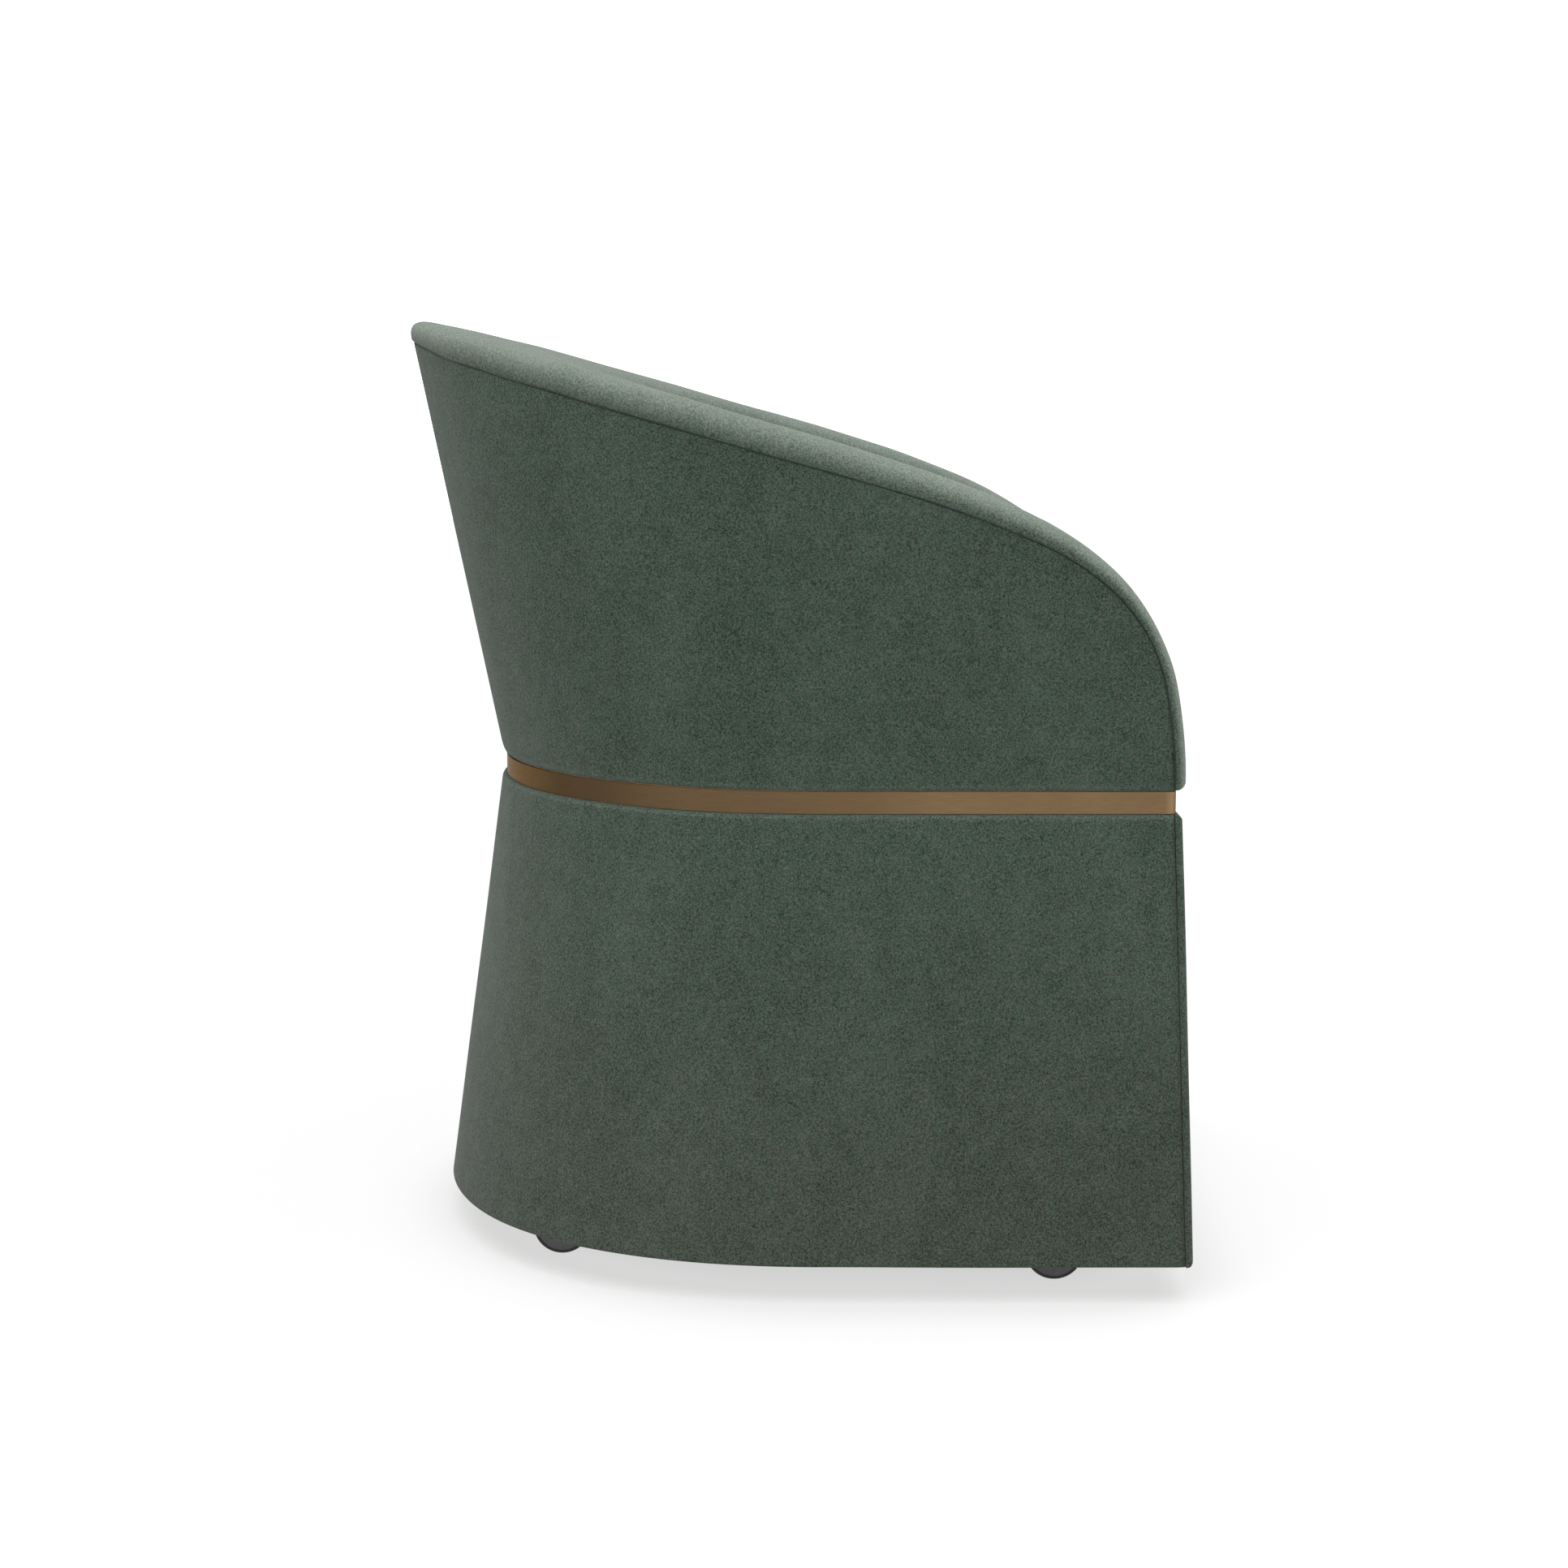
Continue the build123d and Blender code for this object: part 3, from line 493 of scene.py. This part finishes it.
def edge_rows(low, high, steps, near=0.006):
    """Levels from low to high, close together within a few mm of both ends."""
    ends = np.array([0.0, 0.0004, 0.001, 0.0018, 0.0028, 0.004, near])
    middle = np.linspace(low + near, high - near, steps)[1:-1]
    return np.concatenate([low + ends, middle, high - ends[::-1]])


def painted_highlight_line(distance, strength, at, width):
    """A painted highlight: a thin light line at a distance from an edge."""
    return strength * np.exp(-((distance - at) / width) ** 2)


def make_base_skirt():
    """Cover round the base's sides and back, open at the front."""
    z = edge_rows(SKIRT_Z, BASE_TOP, 34)
    along = np.linspace(1, -1, 241)
    gap = 0.0004
    reach = REACH + SPRING_Y - base_front(z) - FRONT_COVER_T - gap
    # the outside's top front corners are rounded
    radius = 0.004
    corner = np.clip(1 - (BASE_TOP - z) / radius, 0, 1)
    round_off = radius * (1 - np.sqrt(1 - corner ** 2))
    q = along[:, None] * (reach - round_off)[None, :]
    level = np.broadcast_to(z, q.shape)
    top, low = BASE_TOP - level, level - SKIRT_Z
    # it rolls in over the top edge and a little under the hem
    depth = 0.0036 * (1 - np.sqrt(1 - np.clip(1 - top / 0.0045, 0, 1) ** 2))
    depth = depth + 0.0014 * np.clip(1 - low / 0.0018, 0, 1) ** 2
    # the cloth turns in round the front edges, over their last 2 mm
    from_front = np.abs(q[0])[None, :] - np.abs(q)
    depth = depth + 0.0009 * np.clip(1 - from_front / 0.002, 0, 1) ** 2
    outer = wall_point(BASE, q, level, depth)
    outer = soft(outer, 0.0007, 0.16, 1.3)
    inner = wall_point(BASE, along[:, None] * reach[None, :], level, COVER_BACK)
    obj = closed_shell("base_skirt", outer, inner)
    # painted highlight just below the rounded top edge
    painted_light = painted_highlight_line(top, 0.16, 0.0022, 0.0016)
    paint(obj, "painted_light", np.concatenate([painted_light.reshape(-1), np.zeros(painted_light.size)]))
    finish_piece(obj, "base_side_cover")


def make_front_panel():
    """Front of the base: a thin upholstered board, slightly crowned."""
    z = edge_rows(SKIRT_Z, BASE_TOP, 26)
    ends = np.array([0.986, 0.992, 0.996, 0.9985, 1])
    across = np.concatenate([-ends[::-1], np.linspace(-0.975, 0.975, 49), ends])
    grid_x, grid_z = np.meshgrid(across, z, indexing="ij")
    half = lerp(BASE[2], BASE[3], (grid_z - SKIRT_Z) / (BASE_TOP - SKIRT_Z))
    x = grid_x * half
    edge = np.minimum(np.minimum(half - np.abs(x), grid_z - SKIRT_Z), BASE_TOP - grid_z)
    roll = 0.0050
    inset = roll * (1 - np.sqrt(np.clip(1 - np.clip(1 - edge / roll, 0, 1) ** 2, 0, 1)))
    crown = 0.0016 * smooth(edge / 0.07)
    y = base_front(grid_z) + inset - crown
    face = soft(np.stack([x, y, grid_z], -1), 0.0006, 0.14, 5.1)
    back = np.stack([x, base_front(grid_z) + FRONT_COVER_T, grid_z], -1)
    obj = closed_shell("base_front_panel", face, back)
    finish_piece(obj, "base_front_cover")


# ------------------------------------------------------------ shell's outside
def coons(bottom, top, left, right):
    """Grid between four edges, each an array of points with shared corners."""
    u = np.linspace(0, 1, len(bottom))[:, None, None]
    v = np.linspace(0, 1, len(left))[None, :, None]
    b, t = bottom[:, None, :], top[:, None, :]
    l, r = left[None, :, :], right[None, :, :]
    corners = ((1 - u) * (1 - v) * bottom[0] + u * (1 - v) * bottom[-1]
               + (1 - u) * v * top[0] + u * v * top[-1])
    return (1 - v) * b + v * t + (1 - u) * l + u * r - corners


def resample(points, count):
    """The given number of points, evenly spaced along a line of them."""
    points = np.asarray(points, float)
    run = np.concatenate([[0], np.cumsum(np.linalg.norm(np.diff(points, axis=0), axis=1))])
    at = np.linspace(0, run[-1], count)
    return np.stack([np.interp(at, run, points[:, k]) for k in range(points.shape[1])], 1)


def warp_rows(grid, where):
    """Resamples a grid's columns at the given 0 to 1 places."""
    n = grid.shape[1]
    at = np.asarray(where) * (n - 1)
    low = np.clip(np.floor(at).astype(int), 0, n - 2)
    f = (at - low)[None, :, None]
    return grid[:, low] * (1 - f) + grid[:, low + 1] * f


def shell_patch(wall, depth, corner_t, foot_z, columns, rows):
    """(q, z) grid of a wall between its foot and the seam.

    corner_t is the place on the seam's bend where its top edge ends and its
    front edges begin.
    """
    arm_steps, back_steps = 60, 120
    path = both_sides(seam_path(wall, depth, corner_t, arm_steps, back_steps))
    top = resample([(r[0], r[1]) for r in path], columns)
    left, steps = [], 60
    for k in range(steps + 1):
        y, z, _, _ = seam_bend(lerp(1.0, corner_t, k / steps))
        left.append((REACH + SPRING_Y - y, max(z, foot_z)))
    left[0] = (left[0][0], foot_z)
    left = resample(left, rows)
    right = left * np.array([-1, 1])
    foot = np.linspace(left[0], right[0], columns)
    top[0], top[-1] = left[-1], right[-1]
    return coons(foot, top, left, right)


def edge_distances(flat):
    """Each grid point's distance from the grid's top row and from its two ends."""
    up = np.linalg.norm(np.diff(flat, axis=1), axis=2)
    from_top = np.concatenate([np.cumsum(up[:, ::-1], axis=1)[:, ::-1],
                               np.zeros((len(flat), 1))], axis=1)
    run = np.linalg.norm(np.diff(flat, axis=0), axis=2)
    from_left = np.concatenate([np.zeros((1, flat.shape[1])), np.cumsum(run, axis=0)])
    return from_top, np.minimum(from_left, from_left[-1][None, :] - from_left)


def make_outside_cover():
    """One tight cover round the shell, from the band up to the seam."""
    corner_t, columns, rows = 0.72, 301, 101
    grid = shell_patch(SHELL, 0.0, corner_t, WAIST_TOP, columns, rows)
    where = np.concatenate([[0, 0.002, 0.006, 0.012, 0.02, 0.03], np.linspace(0.045, 0.97, 46),
                            [0.98, 0.988, 0.993, 0.997, 1.0]])
    grid = warp_rows(grid, where)
    q, z = grid[..., 0], grid[..., 1]
    edge = np.minimum(*edge_distances(wall_point(SHELL, q, z, 0.0)))
    # it rolls in over the band and turns in at the seam
    foot = np.clip(1 - (z - WAIST_TOP) / 0.011, 0, 1)
    depth = 0.0032 * (1 - np.sqrt(np.clip(1 - foot ** 2, 0, 1))) + 0.0002
    depth = depth + 0.0008 * np.exp(-(edge / CREASE) ** 1.3)
    outer = wall_point(SHELL, q, z, depth)
    outer = soft(outer, 0.0008, 0.17, 2.2)
    inner = wall_point(SHELL, q, z, COVER_BACK)
    obj = closed_shell("shell_outer_cover", outer, inner)
    # painted shade along the cover's seamed edges
    painted_seam_shade = 0.35 * np.exp(-(edge / CREASE) ** 2)
    paint(obj, "painted_seam_shade", np.concatenate([painted_seam_shade.reshape(-1), np.zeros(edge.size)]))
    # painted highlight just above the band
    painted_light = painted_highlight_line(z - WAIST_TOP, 0.14, 0.0030, 0.0022)
    paint(obj, "painted_light", np.concatenate([painted_light.reshape(-1), np.zeros(edge.size)]))
    finish_piece(obj, "shell_outside_cover")


# ------------------------------------------------------------------ top roll
# The roll's section is made of superelliptical quarters: their exponent, the
# outer one's width, the inner one's at the arms and at the back, and the least
# flat left between them.
ROLL_POWER = 2 / 2.55
ROUND_OUT, ROUND_ARM, ROUND_BACK, ROLL_FLAT = 0.0275, 0.0275, 0.040, 0.0012
QUARTER_STEPS = 20
ROLL_END = 0.006  # height over which the arm's foot is rounded


def roll_frames(arm_steps, back_steps):
    """Sections of the roll from the left arm's front round to the right's.

    Each is its seam point, its inward and rise directions, width, height,
    climb per metre inward and the outside wall's lean.
    """
    out = []
    first, second = SEAM_CURVE[:2]
    start = math.atan2(first[1] - second[1], first[0] - second[0])
    for q, z, t in seam_path(SHELL, -ROLL_PROUD, 1.0, arm_steps, back_steps):
        here = wall_point(SHELL, q, z, -ROLL_PROUD)
        turn, tilt, lift = 0.0, 0.0, 0.0
        if q > REACH - 1e-6:
            _, _, dy, dz = seam_bend(t)
            turn = (math.atan2(-dz, -dy) - start) / (math.pi / 2 - start) * math.pi / 2
            across = np.array([-ARM_T - ROLL_PROUD, 0, 0])
            flare = SHELL[3] - SHELL[2]
        else:
            pad_z = z
            for _ in range(SETTLE):
                inner = wall_point(PAD, q, pad_z, 0.0)
                pad_z = seam_z(inner[1])
            across = (inner - here) * np.array([1, 1, 0])
            ny = abs(across[1]) / np.linalg.norm(across)
            flare = lerp(SHELL[3] - SHELL[2], SHELL[5] - SHELL[4], ny)
            tilt, lift = -SEAM_SLOPE * ny, seam_lift(here[1])
        width = np.linalg.norm(across)
        rise = np.array([0, -math.sin(turn), math.cos(turn)])
        height = lerp(ROLL_BACK - lift, ROLL_FRONT, float(smooth(t / 0.75)))
        lean = flare * math.cos(turn) / (SHELL_TOP - WAIST_TOP)
        # rounded end at the foot of the arm: narrower and lower
        foot = math.sqrt(1 - (1 - min(1.0, (here[2] - WAIST_TOP) / ROLL_END)) ** 2)
        inward = across / width
        here = here + inward * 0.0035 * (1 - foot)
        width, height = width - 0.006 * (1 - foot), height * (0.45 + 0.55 * foot)
        out.append((here, inward, rise, width, height, tilt, lean))
    flip = np.array([-1.0, 1, 1])
    return out + [(s[0] * flip, s[1] * flip) + s[2:] for s in reversed(out[:-1])]


def roll_profile(width, height):
    """Section of the roll, seam to inside, as (inward, up) in metres."""
    wide = float(smooth((width - 0.055) / 0.08))  # 0 at the arms, 1 at the back
    outer = min(ROUND_OUT, width / 2 - ROLL_FLAT)
    inner = min(lerp(ROUND_ARM, ROUND_BACK, wide), width / 2 - ROLL_FLAT)

    def quarter(k):
        a = math.pi / 2 * k / QUARTER_STEPS
        return 1 - math.cos(a) ** ROLL_POWER, math.sin(a) ** ROLL_POWER * height

    points = []
    for k in [0, 0.06, 0.15, 0.3, 0.55] + list(range(1, QUARTER_STEPS + 1)):
        over, up = quarter(k)
        points.append((over * outer, up))
    flat_steps = 12
    for k in range(1, flat_steps):
        u = k / flat_steps
        crown = 0.0022 * wide * 4 * u * (1 - u)
        points.append((lerp(outer, width - inner, u), height + crown))
    for k in range(QUARTER_STEPS, -1, -1):
        over, up = quarter(k)
        points.append((width - over * inner, up))
    return points


def roll_painted_light(h, height, y, outside):
    """Painted light at a height h on the roll's section: lighter towards the crown, with a thin
    painted highlight above the seam.
    """
    share = min(1.0, h / height)
    if not outside:
        return 0.3 + 0.65 * float(smooth((share - 0.1) / 0.6))
    rear = float(smooth((y + 0.25) / 0.30))
    start, spread = lerp(0.14, -0.12, rear), lerp(0.6, 0.95, rear)
    # painted highlight on the lip just above the seam
    lip = painted_highlight_line(h, 0.14, 0.0022, 0.0011)
    return max(lip, float(smooth((share - start) / spread)))


def make_top_roll():
    """The padded roll along the crown and down the arms' fronts."""
    rings, painted_seam_shades, painted_lights = [], [], []
    for here, inward, rise, width, height, tilt, lean in roll_frames(96, 110):
        def place(q, h):
            return here + inward * q + np.array([0, 0, tilt * q]) + rise * h

        # the sewn edge dips into the seam behind the cover's turned-in edge
        ring = [place(0.0040, -0.0010), place(0.0024, -0.0006)]
        # full painted shade and no painted light on the two points sewn into the seam
        ring_seam_shade, ring_painted_light = [1.0, 1.0], [0.0, 0.0]
        for q, h in roll_profile(width, height):
            outside = q < width / 2
            inset = CREASE * math.exp(-(h / CREASE) ** 1.2) if outside else 0
            sway = lean * h * (1 - 2 * q / width)
            ring.append(place(q + inset - sway, max(h, 0.0005)))
            # painted shade at the foot of the section, by the seam
            ring_seam_shade.append(0.40 * math.exp(-(h / 0.0005) ** 2))
            ring_painted_light.append(roll_painted_light(h, height, here[1], outside))
        ring.append(place(width - 0.004, 0.0003))
        # painted shade where the inside edge tucks in
        ring_seam_shade.append(0.6)
        ring_painted_light.append(0.0)
        rings.append(ring)
        painted_seam_shades.append(ring_seam_shade)
        painted_lights.append(ring_painted_light)
    rings = soft(np.array(rings), 0.0009, 0.06, 3.7)
    nu, nv = rings.shape[:2]
    faces = grid_faces(nu, nv, wrap_v=True)
    faces.append(tuple(range(nv)))
    faces.append(tuple((nu - 1) * nv + j for j in reversed(range(nv))))
    obj = add_mesh("top_roll", rings.reshape(-1, 3), faces)
    outward(obj)
    paint(obj, "painted_seam_shade", np.array(painted_seam_shades))
    paint(obj, "painted_light", np.array(painted_lights))
    finish_piece(obj, "shell_top_roll")


# ---------------------------------------------------------- cloth simulation
def take_result(obj):
    """Gives the piece the mesh its modifiers make, and takes them off."""
    ready = obj.evaluated_get(bpy.context.evaluated_depsgraph_get())
    mesh = bpy.data.meshes.new_from_object(ready)
    obj.modifiers.clear()
    obj.data = mesh


def coordinates(mesh):
    """The mesh's points as an array."""
    flat = np.empty(len(mesh.vertices) * 3, np.float32)
    mesh.vertices.foreach_get("co", flat)
    return flat.reshape(-1, 3).astype(float)


def even_out(face, rounds_along, rounds_up):
    """Averages a grid of moves with their neighbours, first along, then up."""
    inner = (slice(1, -1), slice(1, -1))
    for _ in range(rounds_along):
        face[inner] += 0.5 * ((face[:-2, 1:-1] + face[2:, 1:-1]) / 2 - face[inner])
    for _ in range(rounds_up):
        face[inner] += 0.5 * ((face[1:-1, :-2] + face[1:-1, 2:]) / 2 - face[inner])


def swell(obj, held, most_out, most_up, even=None):
    """Blows a pad up as cloth and caps how far each point moves.

    held marks the points that stay. even is the grid size of the pad's face,
    where the foam behind the cloth keeps it from wrinkling.
    """
    last_frame = 20
    rest = coordinates(obj.data)
    group = obj.vertex_groups.new(name="held")
    group.add([int(i) for i in np.nonzero(held)[0]], 1.0, "REPLACE")
    cloth = obj.modifiers.new("cloth", "CLOTH")
    cloth.settings.quality = 5
    cloth.settings.mass = 0.3
    cloth.settings.tension_stiffness = cloth.settings.compression_stiffness = 12
    cloth.settings.shear_stiffness = 5
    cloth.settings.bending_stiffness = 0.5
    cloth.settings.use_pressure = True
    cloth.settings.uniform_pressure_force = 4
    cloth.settings.effector_weights.gravity = 0
    cloth.settings.vertex_group_mass = "held"
    cloth.point_cache.frame_start, cloth.point_cache.frame_end = 1, last_frame
    for frame_number in range(1, last_frame + 1):
        bpy.context.scene.frame_set(frame_number)
    moved = obj.evaluated_get(bpy.context.evaluated_depsgraph_get()).data
    move = coordinates(moved) - rest
    obj.modifiers.remove(cloth)
    obj.vertex_groups.clear()
    bpy.context.scene.frame_set(1)
    outward_move = np.linalg.norm(move[:, :2], axis=1)
    cap = np.minimum(outward_move, most_out) / np.maximum(outward_move, 1e-9)
    move[:, :2] *= cap[:, None]
    move[:, 2] = np.clip(move[:, 2], -0.001, most_up)
    if even is not None:
        even_out(move[:even[0] * even[1]].reshape(even + (3,)), 40, 6)
    obj.data.vertices.foreach_set("co", (rest + move).astype(np.float32).reshape(-1))
    obj.data.update()


def subdivide_once(obj):
    """Halves every edge, smoothing the shape."""
    obj.modifiers.new("smooth", "SUBSURF").levels = 1
    take_result(obj)


# ---------------------------------------------------------------- inside pad
def make_inside_pad():
    """Lining of the tub, from the seat up to the roll."""
    where = np.concatenate([[0, 0.01, 0.03, 0.06], np.linspace(0.1, 0.93, 30),
                            [0.955, 0.975, 0.99, 1.0]])
    corner_t, columns, rows = 0.80, 241, 61
    grid = warp_rows(shell_patch(PAD, 0.0, corner_t, PAD_FOOT, columns, rows), where)
    behind = warp_rows(shell_patch(SHELL, PAD_BACK, corner_t, PAD_FOOT, columns, rows), where)
    q, z = grid[..., 0], grid[..., 1]
    edge = np.minimum(*edge_distances(wall_point(PAD, q, z, 0.0)))
    # fuller away from its edges and above the seat, tucked in along them
    fuller = 0.0025 * smooth(edge / 0.06) * smooth((z - 0.485) / 0.10)
    tuck = 0.0045 * np.exp(-(edge / 0.006) ** 1.5)
    outer = wall_point(PAD, q, z, fuller - tuck - 0.0002)
    outer = soft(outer, 0.0009, 0.10, 7.9)
    inner = wall_point(SHELL, behind[..., 0], behind[..., 1] - 0.0004, PAD_BACK)
    obj = closed_shell("inside_pad", outer, inner)
    # its edges, the part below the seat's top and its back stay
    held = np.concatenate([((edge < 0.004) | (z < 0.492)).reshape(-1),
                           np.ones(edge.size, bool)])
    swell(obj, held, most_out=0.0075, most_up=0.002, even=edge.shape)
    subdivide_once(obj)
    finish_piece(obj, "shell_inside_pad")


# ------------------------------------------------------------------ seat pad
def seat_rings(middle, front, depth, crown):
    """Outlines of the pad, level by level, from its foot to near its crown."""
    half_rows, front_points = 40, 25
    start = REACH + SPRING_Y - front - 0.010
    left = [lerp(start, 0, k / half_rows) for k in range(half_rows + 1)]
    edge = wall_point(PAD, np.array(left + [-v for v in reversed(left[:-1])]), middle[2], depth)
    front_row = np.stack([np.linspace(edge[-1][0] + 0.004, edge[0][0] - 0.004, front_points),
                          np.full(front_points, front), np.full(front_points, middle[2])], 1)
    outline = np.concatenate([edge, front_row])
    # its side, as (up, in) from the outline
    side = [(0.0, 0.0), (0.012, 0.0), (0.024, -0.0004), (0.032, 0.0008), (0.038, 0.0035),
            (0.0415, 0.0075), (0.0432, 0.0135), (0.0438, 0.022)]
    direction = middle - outline
    direction[:, 2] = 0
    direction /= np.linalg.norm(direction, axis=1)[:, None]
    rings = [outline + direction * inset + np.array([0, 0, up]) for up, inset in side]
    last = rings[-1]
    centre = middle + np.array([0, 0, side[-1][0] + crown])
    for share in (0.12, 0.26, 0.42, 0.58, 0.74, 0.88):
        step = last * (1 - share) + centre * share
        step[:, 2] = lerp(last[:, 2], centre[2], float(np.sin(share * math.pi / 2)) ** 0.8)
        rings.append(step)
    return np.array(rings)


def make_seat_pad():
    """Tight crowned seat with a lip that falls over the seat rail's front."""
    front, foot_z = -0.3270, 0.4466
    middle = np.array([0.0, -0.06, foot_z])
    rings = seat_rings(middle, front, 0.0016, 0.0065)
    nu, nv = rings.shape[:2]
    crown_top = middle + np.array([0, 0, 0.0504])
    verts = list(rings.reshape(-1, 3)) + [crown_top, middle]
    faces = grid_faces(nu, nv, wrap_v=True)
    top, bottom = nu * nv, nu * nv + 1
    for j in range(nv):
        faces.append(((nu - 1) * nv + j, (nu - 1) * nv + (j + 1) % nv, top))
        faces.append(((j + 1) % nv, j, bottom))
    # the lip reaches down to the bronze band
    lip, lip_back, lip_low, lip_high = len(verts), -0.3166, 0.4268, 0.4500
    half = float(wall_point(PAD, REACH + 0.1, WAIST_TOP, 0.0017)[0]) - 0.0005
    for y in (front, lip_back):
        for x, z in ((-half, lip_low), (half, lip_low), (half, lip_high), (-half, lip_high)):
            verts.append((x, y, z))
    sides = ((0, 1, 2, 3), (7, 6, 5, 4), (0, 4, 5, 1), (1, 5, 6, 2), (2, 6, 7, 3), (3, 7, 4, 0))
    faces += [tuple(lip + k for k in side) for side in sides]
    obj = add_mesh("seat_cushion", verts, faces)
    outward(obj)
    remesh = obj.modifiers.new("even", "REMESH")
    remesh.mode = "VOXEL"
    remesh.voxel_size = 0.005
    take_result(obj)
    held = coordinates(obj.data)[:, 2] < foot_z + 0.012
    swell(obj, held, most_out=0.0008, most_up=0.008)
    subdivide_once(obj)
    obj.data.shade_smooth()
    normals = np.empty(len(obj.data.vertices) * 3, np.float32)
    obj.data.vertices.foreach_get("normal", normals)
    # painted light: its top faces up, so its colour is made lighter
    paint(obj, "painted_light", 0.75 * smooth((normals[2::3] - 0.2) / 0.7))
    finish_piece(obj, "seat_pad")


make_base_skirt()
make_front_panel()
make_outside_cover()
make_top_roll()
make_inside_pad()
make_seat_pad()


# ------------------------------------------------------------- stage, lights
# A soft contact shadow: how strongly the floor glows at each distance in metres
# from the base's outline, starting inside it.
GLOW_INSIDE, GLOW_RANGE = 0.10, 0.40
FLOOR_GLOW = ((-0.10, 0.620), (-0.04, 0.655), (0.0, 0.625), (0.012, 0.618), (0.027, 0.645),
              (0.0465, 0.68), (0.0665, 0.705), (0.104, 0.715), (0.17, 0.70), (0.25, 0.69))


def outline_distance(tree):
    """Distance on the floor from GLOW_INSIDE within the base's outline."""
    axes = place_axes(tree)
    across, along = axes["X"], axes["Y"]
    behind = math_node(tree, "MAXIMUM", math_node(tree, "SUBTRACT", along, SPRING_Y), 0.0)
    ahead = math_node(tree, "SUBTRACT", FRONT_SKIRT + GLOW_INSIDE, along)
    beside = math_node(tree, "SUBTRACT", length(tree, across, behind), BASE[2] - GLOW_INSIDE)
    return length(tree, math_node(tree, "MAXIMUM", beside, 0.0),
                  math_node(tree, "MAXIMUM", ahead, 0.0))


def make_floor():
    """Pale floor whose glow fades round the chair."""
    bpy.ops.mesh.primitive_plane_add(size=400, location=(0, 0, 0))
    floor = bpy.context.object
    floor.name = "floor"
    mat, tree, shader = new_material("floor")
    shader.inputs["Base Color"].default_value = (0.19, 0.19, 0.19, 1)
    shader.inputs["Roughness"].default_value = 0.9
    shader.inputs["Specular IOR Level"].default_value = 0.0
    shader.inputs["Emission Color"].default_value = (1, 1, 1, 1)
    ramp = tree.nodes.new("ShaderNodeValToRGB")
    stops = ramp.color_ramp.elements
    for distance, strength in FLOOR_GLOW:
        stop = stops.new((distance + GLOW_INSIDE) / GLOW_RANGE)
        stop.color = (strength, strength, strength, 1)
    # the two stops that a new ramp comes with
    stops.remove(stops[0])
    stops.remove(stops[-1])
    link(tree, remap(tree, outline_distance(tree), 0.0, GLOW_RANGE), ramp.inputs["Fac"])
    link(tree, ramp.outputs["Color"], shader.inputs["Emission Strength"])
    floor.data.materials.append(mat)


def make_backdrop():
    """White wall behind the chair, as the photograph's side sees it."""
    bpy.ops.mesh.primitive_plane_add(size=1, location=(12, 0, 2.5), rotation=(0, math.pi / 2, 0))
    wall = bpy.context.object
    wall.name = "backdrop"
    wall.scale = (6, 16, 1)
    mat, _, shader = new_material("backdrop")
    shader.inputs["Base Color"].default_value = (0.5, 0.5, 0.5, 1)
    shader.inputs["Emission Color"].default_value = (1, 1, 1, 1)
    shader.inputs["Emission Strength"].default_value = 1.1
    wall.data.materials.append(mat)


def area_light(name, place, target, size, power):
    data = bpy.data.lights.new(name, "AREA")
    data.shape = "RECTANGLE"
    data.size, data.size_y = size
    data.energy = power
    obj = bpy.data.objects.new(name, data)
    bpy.context.scene.collection.objects.link(obj)
    obj.location = place
    obj.rotation_euler = (Vector(target) - Vector(place)).to_track_quat("-Z", "Y").to_euler()


def make_lights():
    """A wide soft overhead light, two weak fills and an even sky."""
    data = bpy.data.lights.new("overhead", "SUN")
    data.energy = 4.0
    data.angle = math.radians(80)
    overhead = bpy.data.objects.new("overhead", data)
    bpy.context.scene.collection.objects.link(overhead)
    overhead.rotation_euler = (0.0, math.radians(-6), 0)
    middle = (0, 0, 0.5)
    area_light("behind_chair", (-1.9, 2.3, 1.1), middle, (1.8, 2.0), 10)
    area_light("before_chair", (0.2, -2.6, 1.2), middle, (1.6, 2.0), 7)
    world = bpy.data.worlds.new("studio")
    bpy.context.scene.world = world
    world.use_nodes = True
    sky = world.node_tree.nodes["Background"]
    sky.inputs["Color"].default_value = (1, 1, 1, 1)
    sky.inputs["Strength"].default_value = 0.55


def make_camera():
    """Exact side view of the sitter's right, looking a little down."""
    data = bpy.data.cameras.new("camera")
    data.lens, data.sensor_width = 63.41, 36.0
    cam = bpy.data.objects.new("camera", data)
    bpy.context.scene.collection.objects.link(cam)
    cam.location = (-2.5406, 0.0038, 0.7713)
    pitch = math.radians(8.523)
    aim = Vector((math.cos(pitch), 0, -math.sin(pitch)))
    cam.rotation_euler = aim.to_track_quat("-Z", "Y").to_euler()
    bpy.context.scene.camera = cam


make_floor()
make_backdrop()
make_lights()
make_camera()
bpy.context.scene.view_settings.view_transform = "Standard"
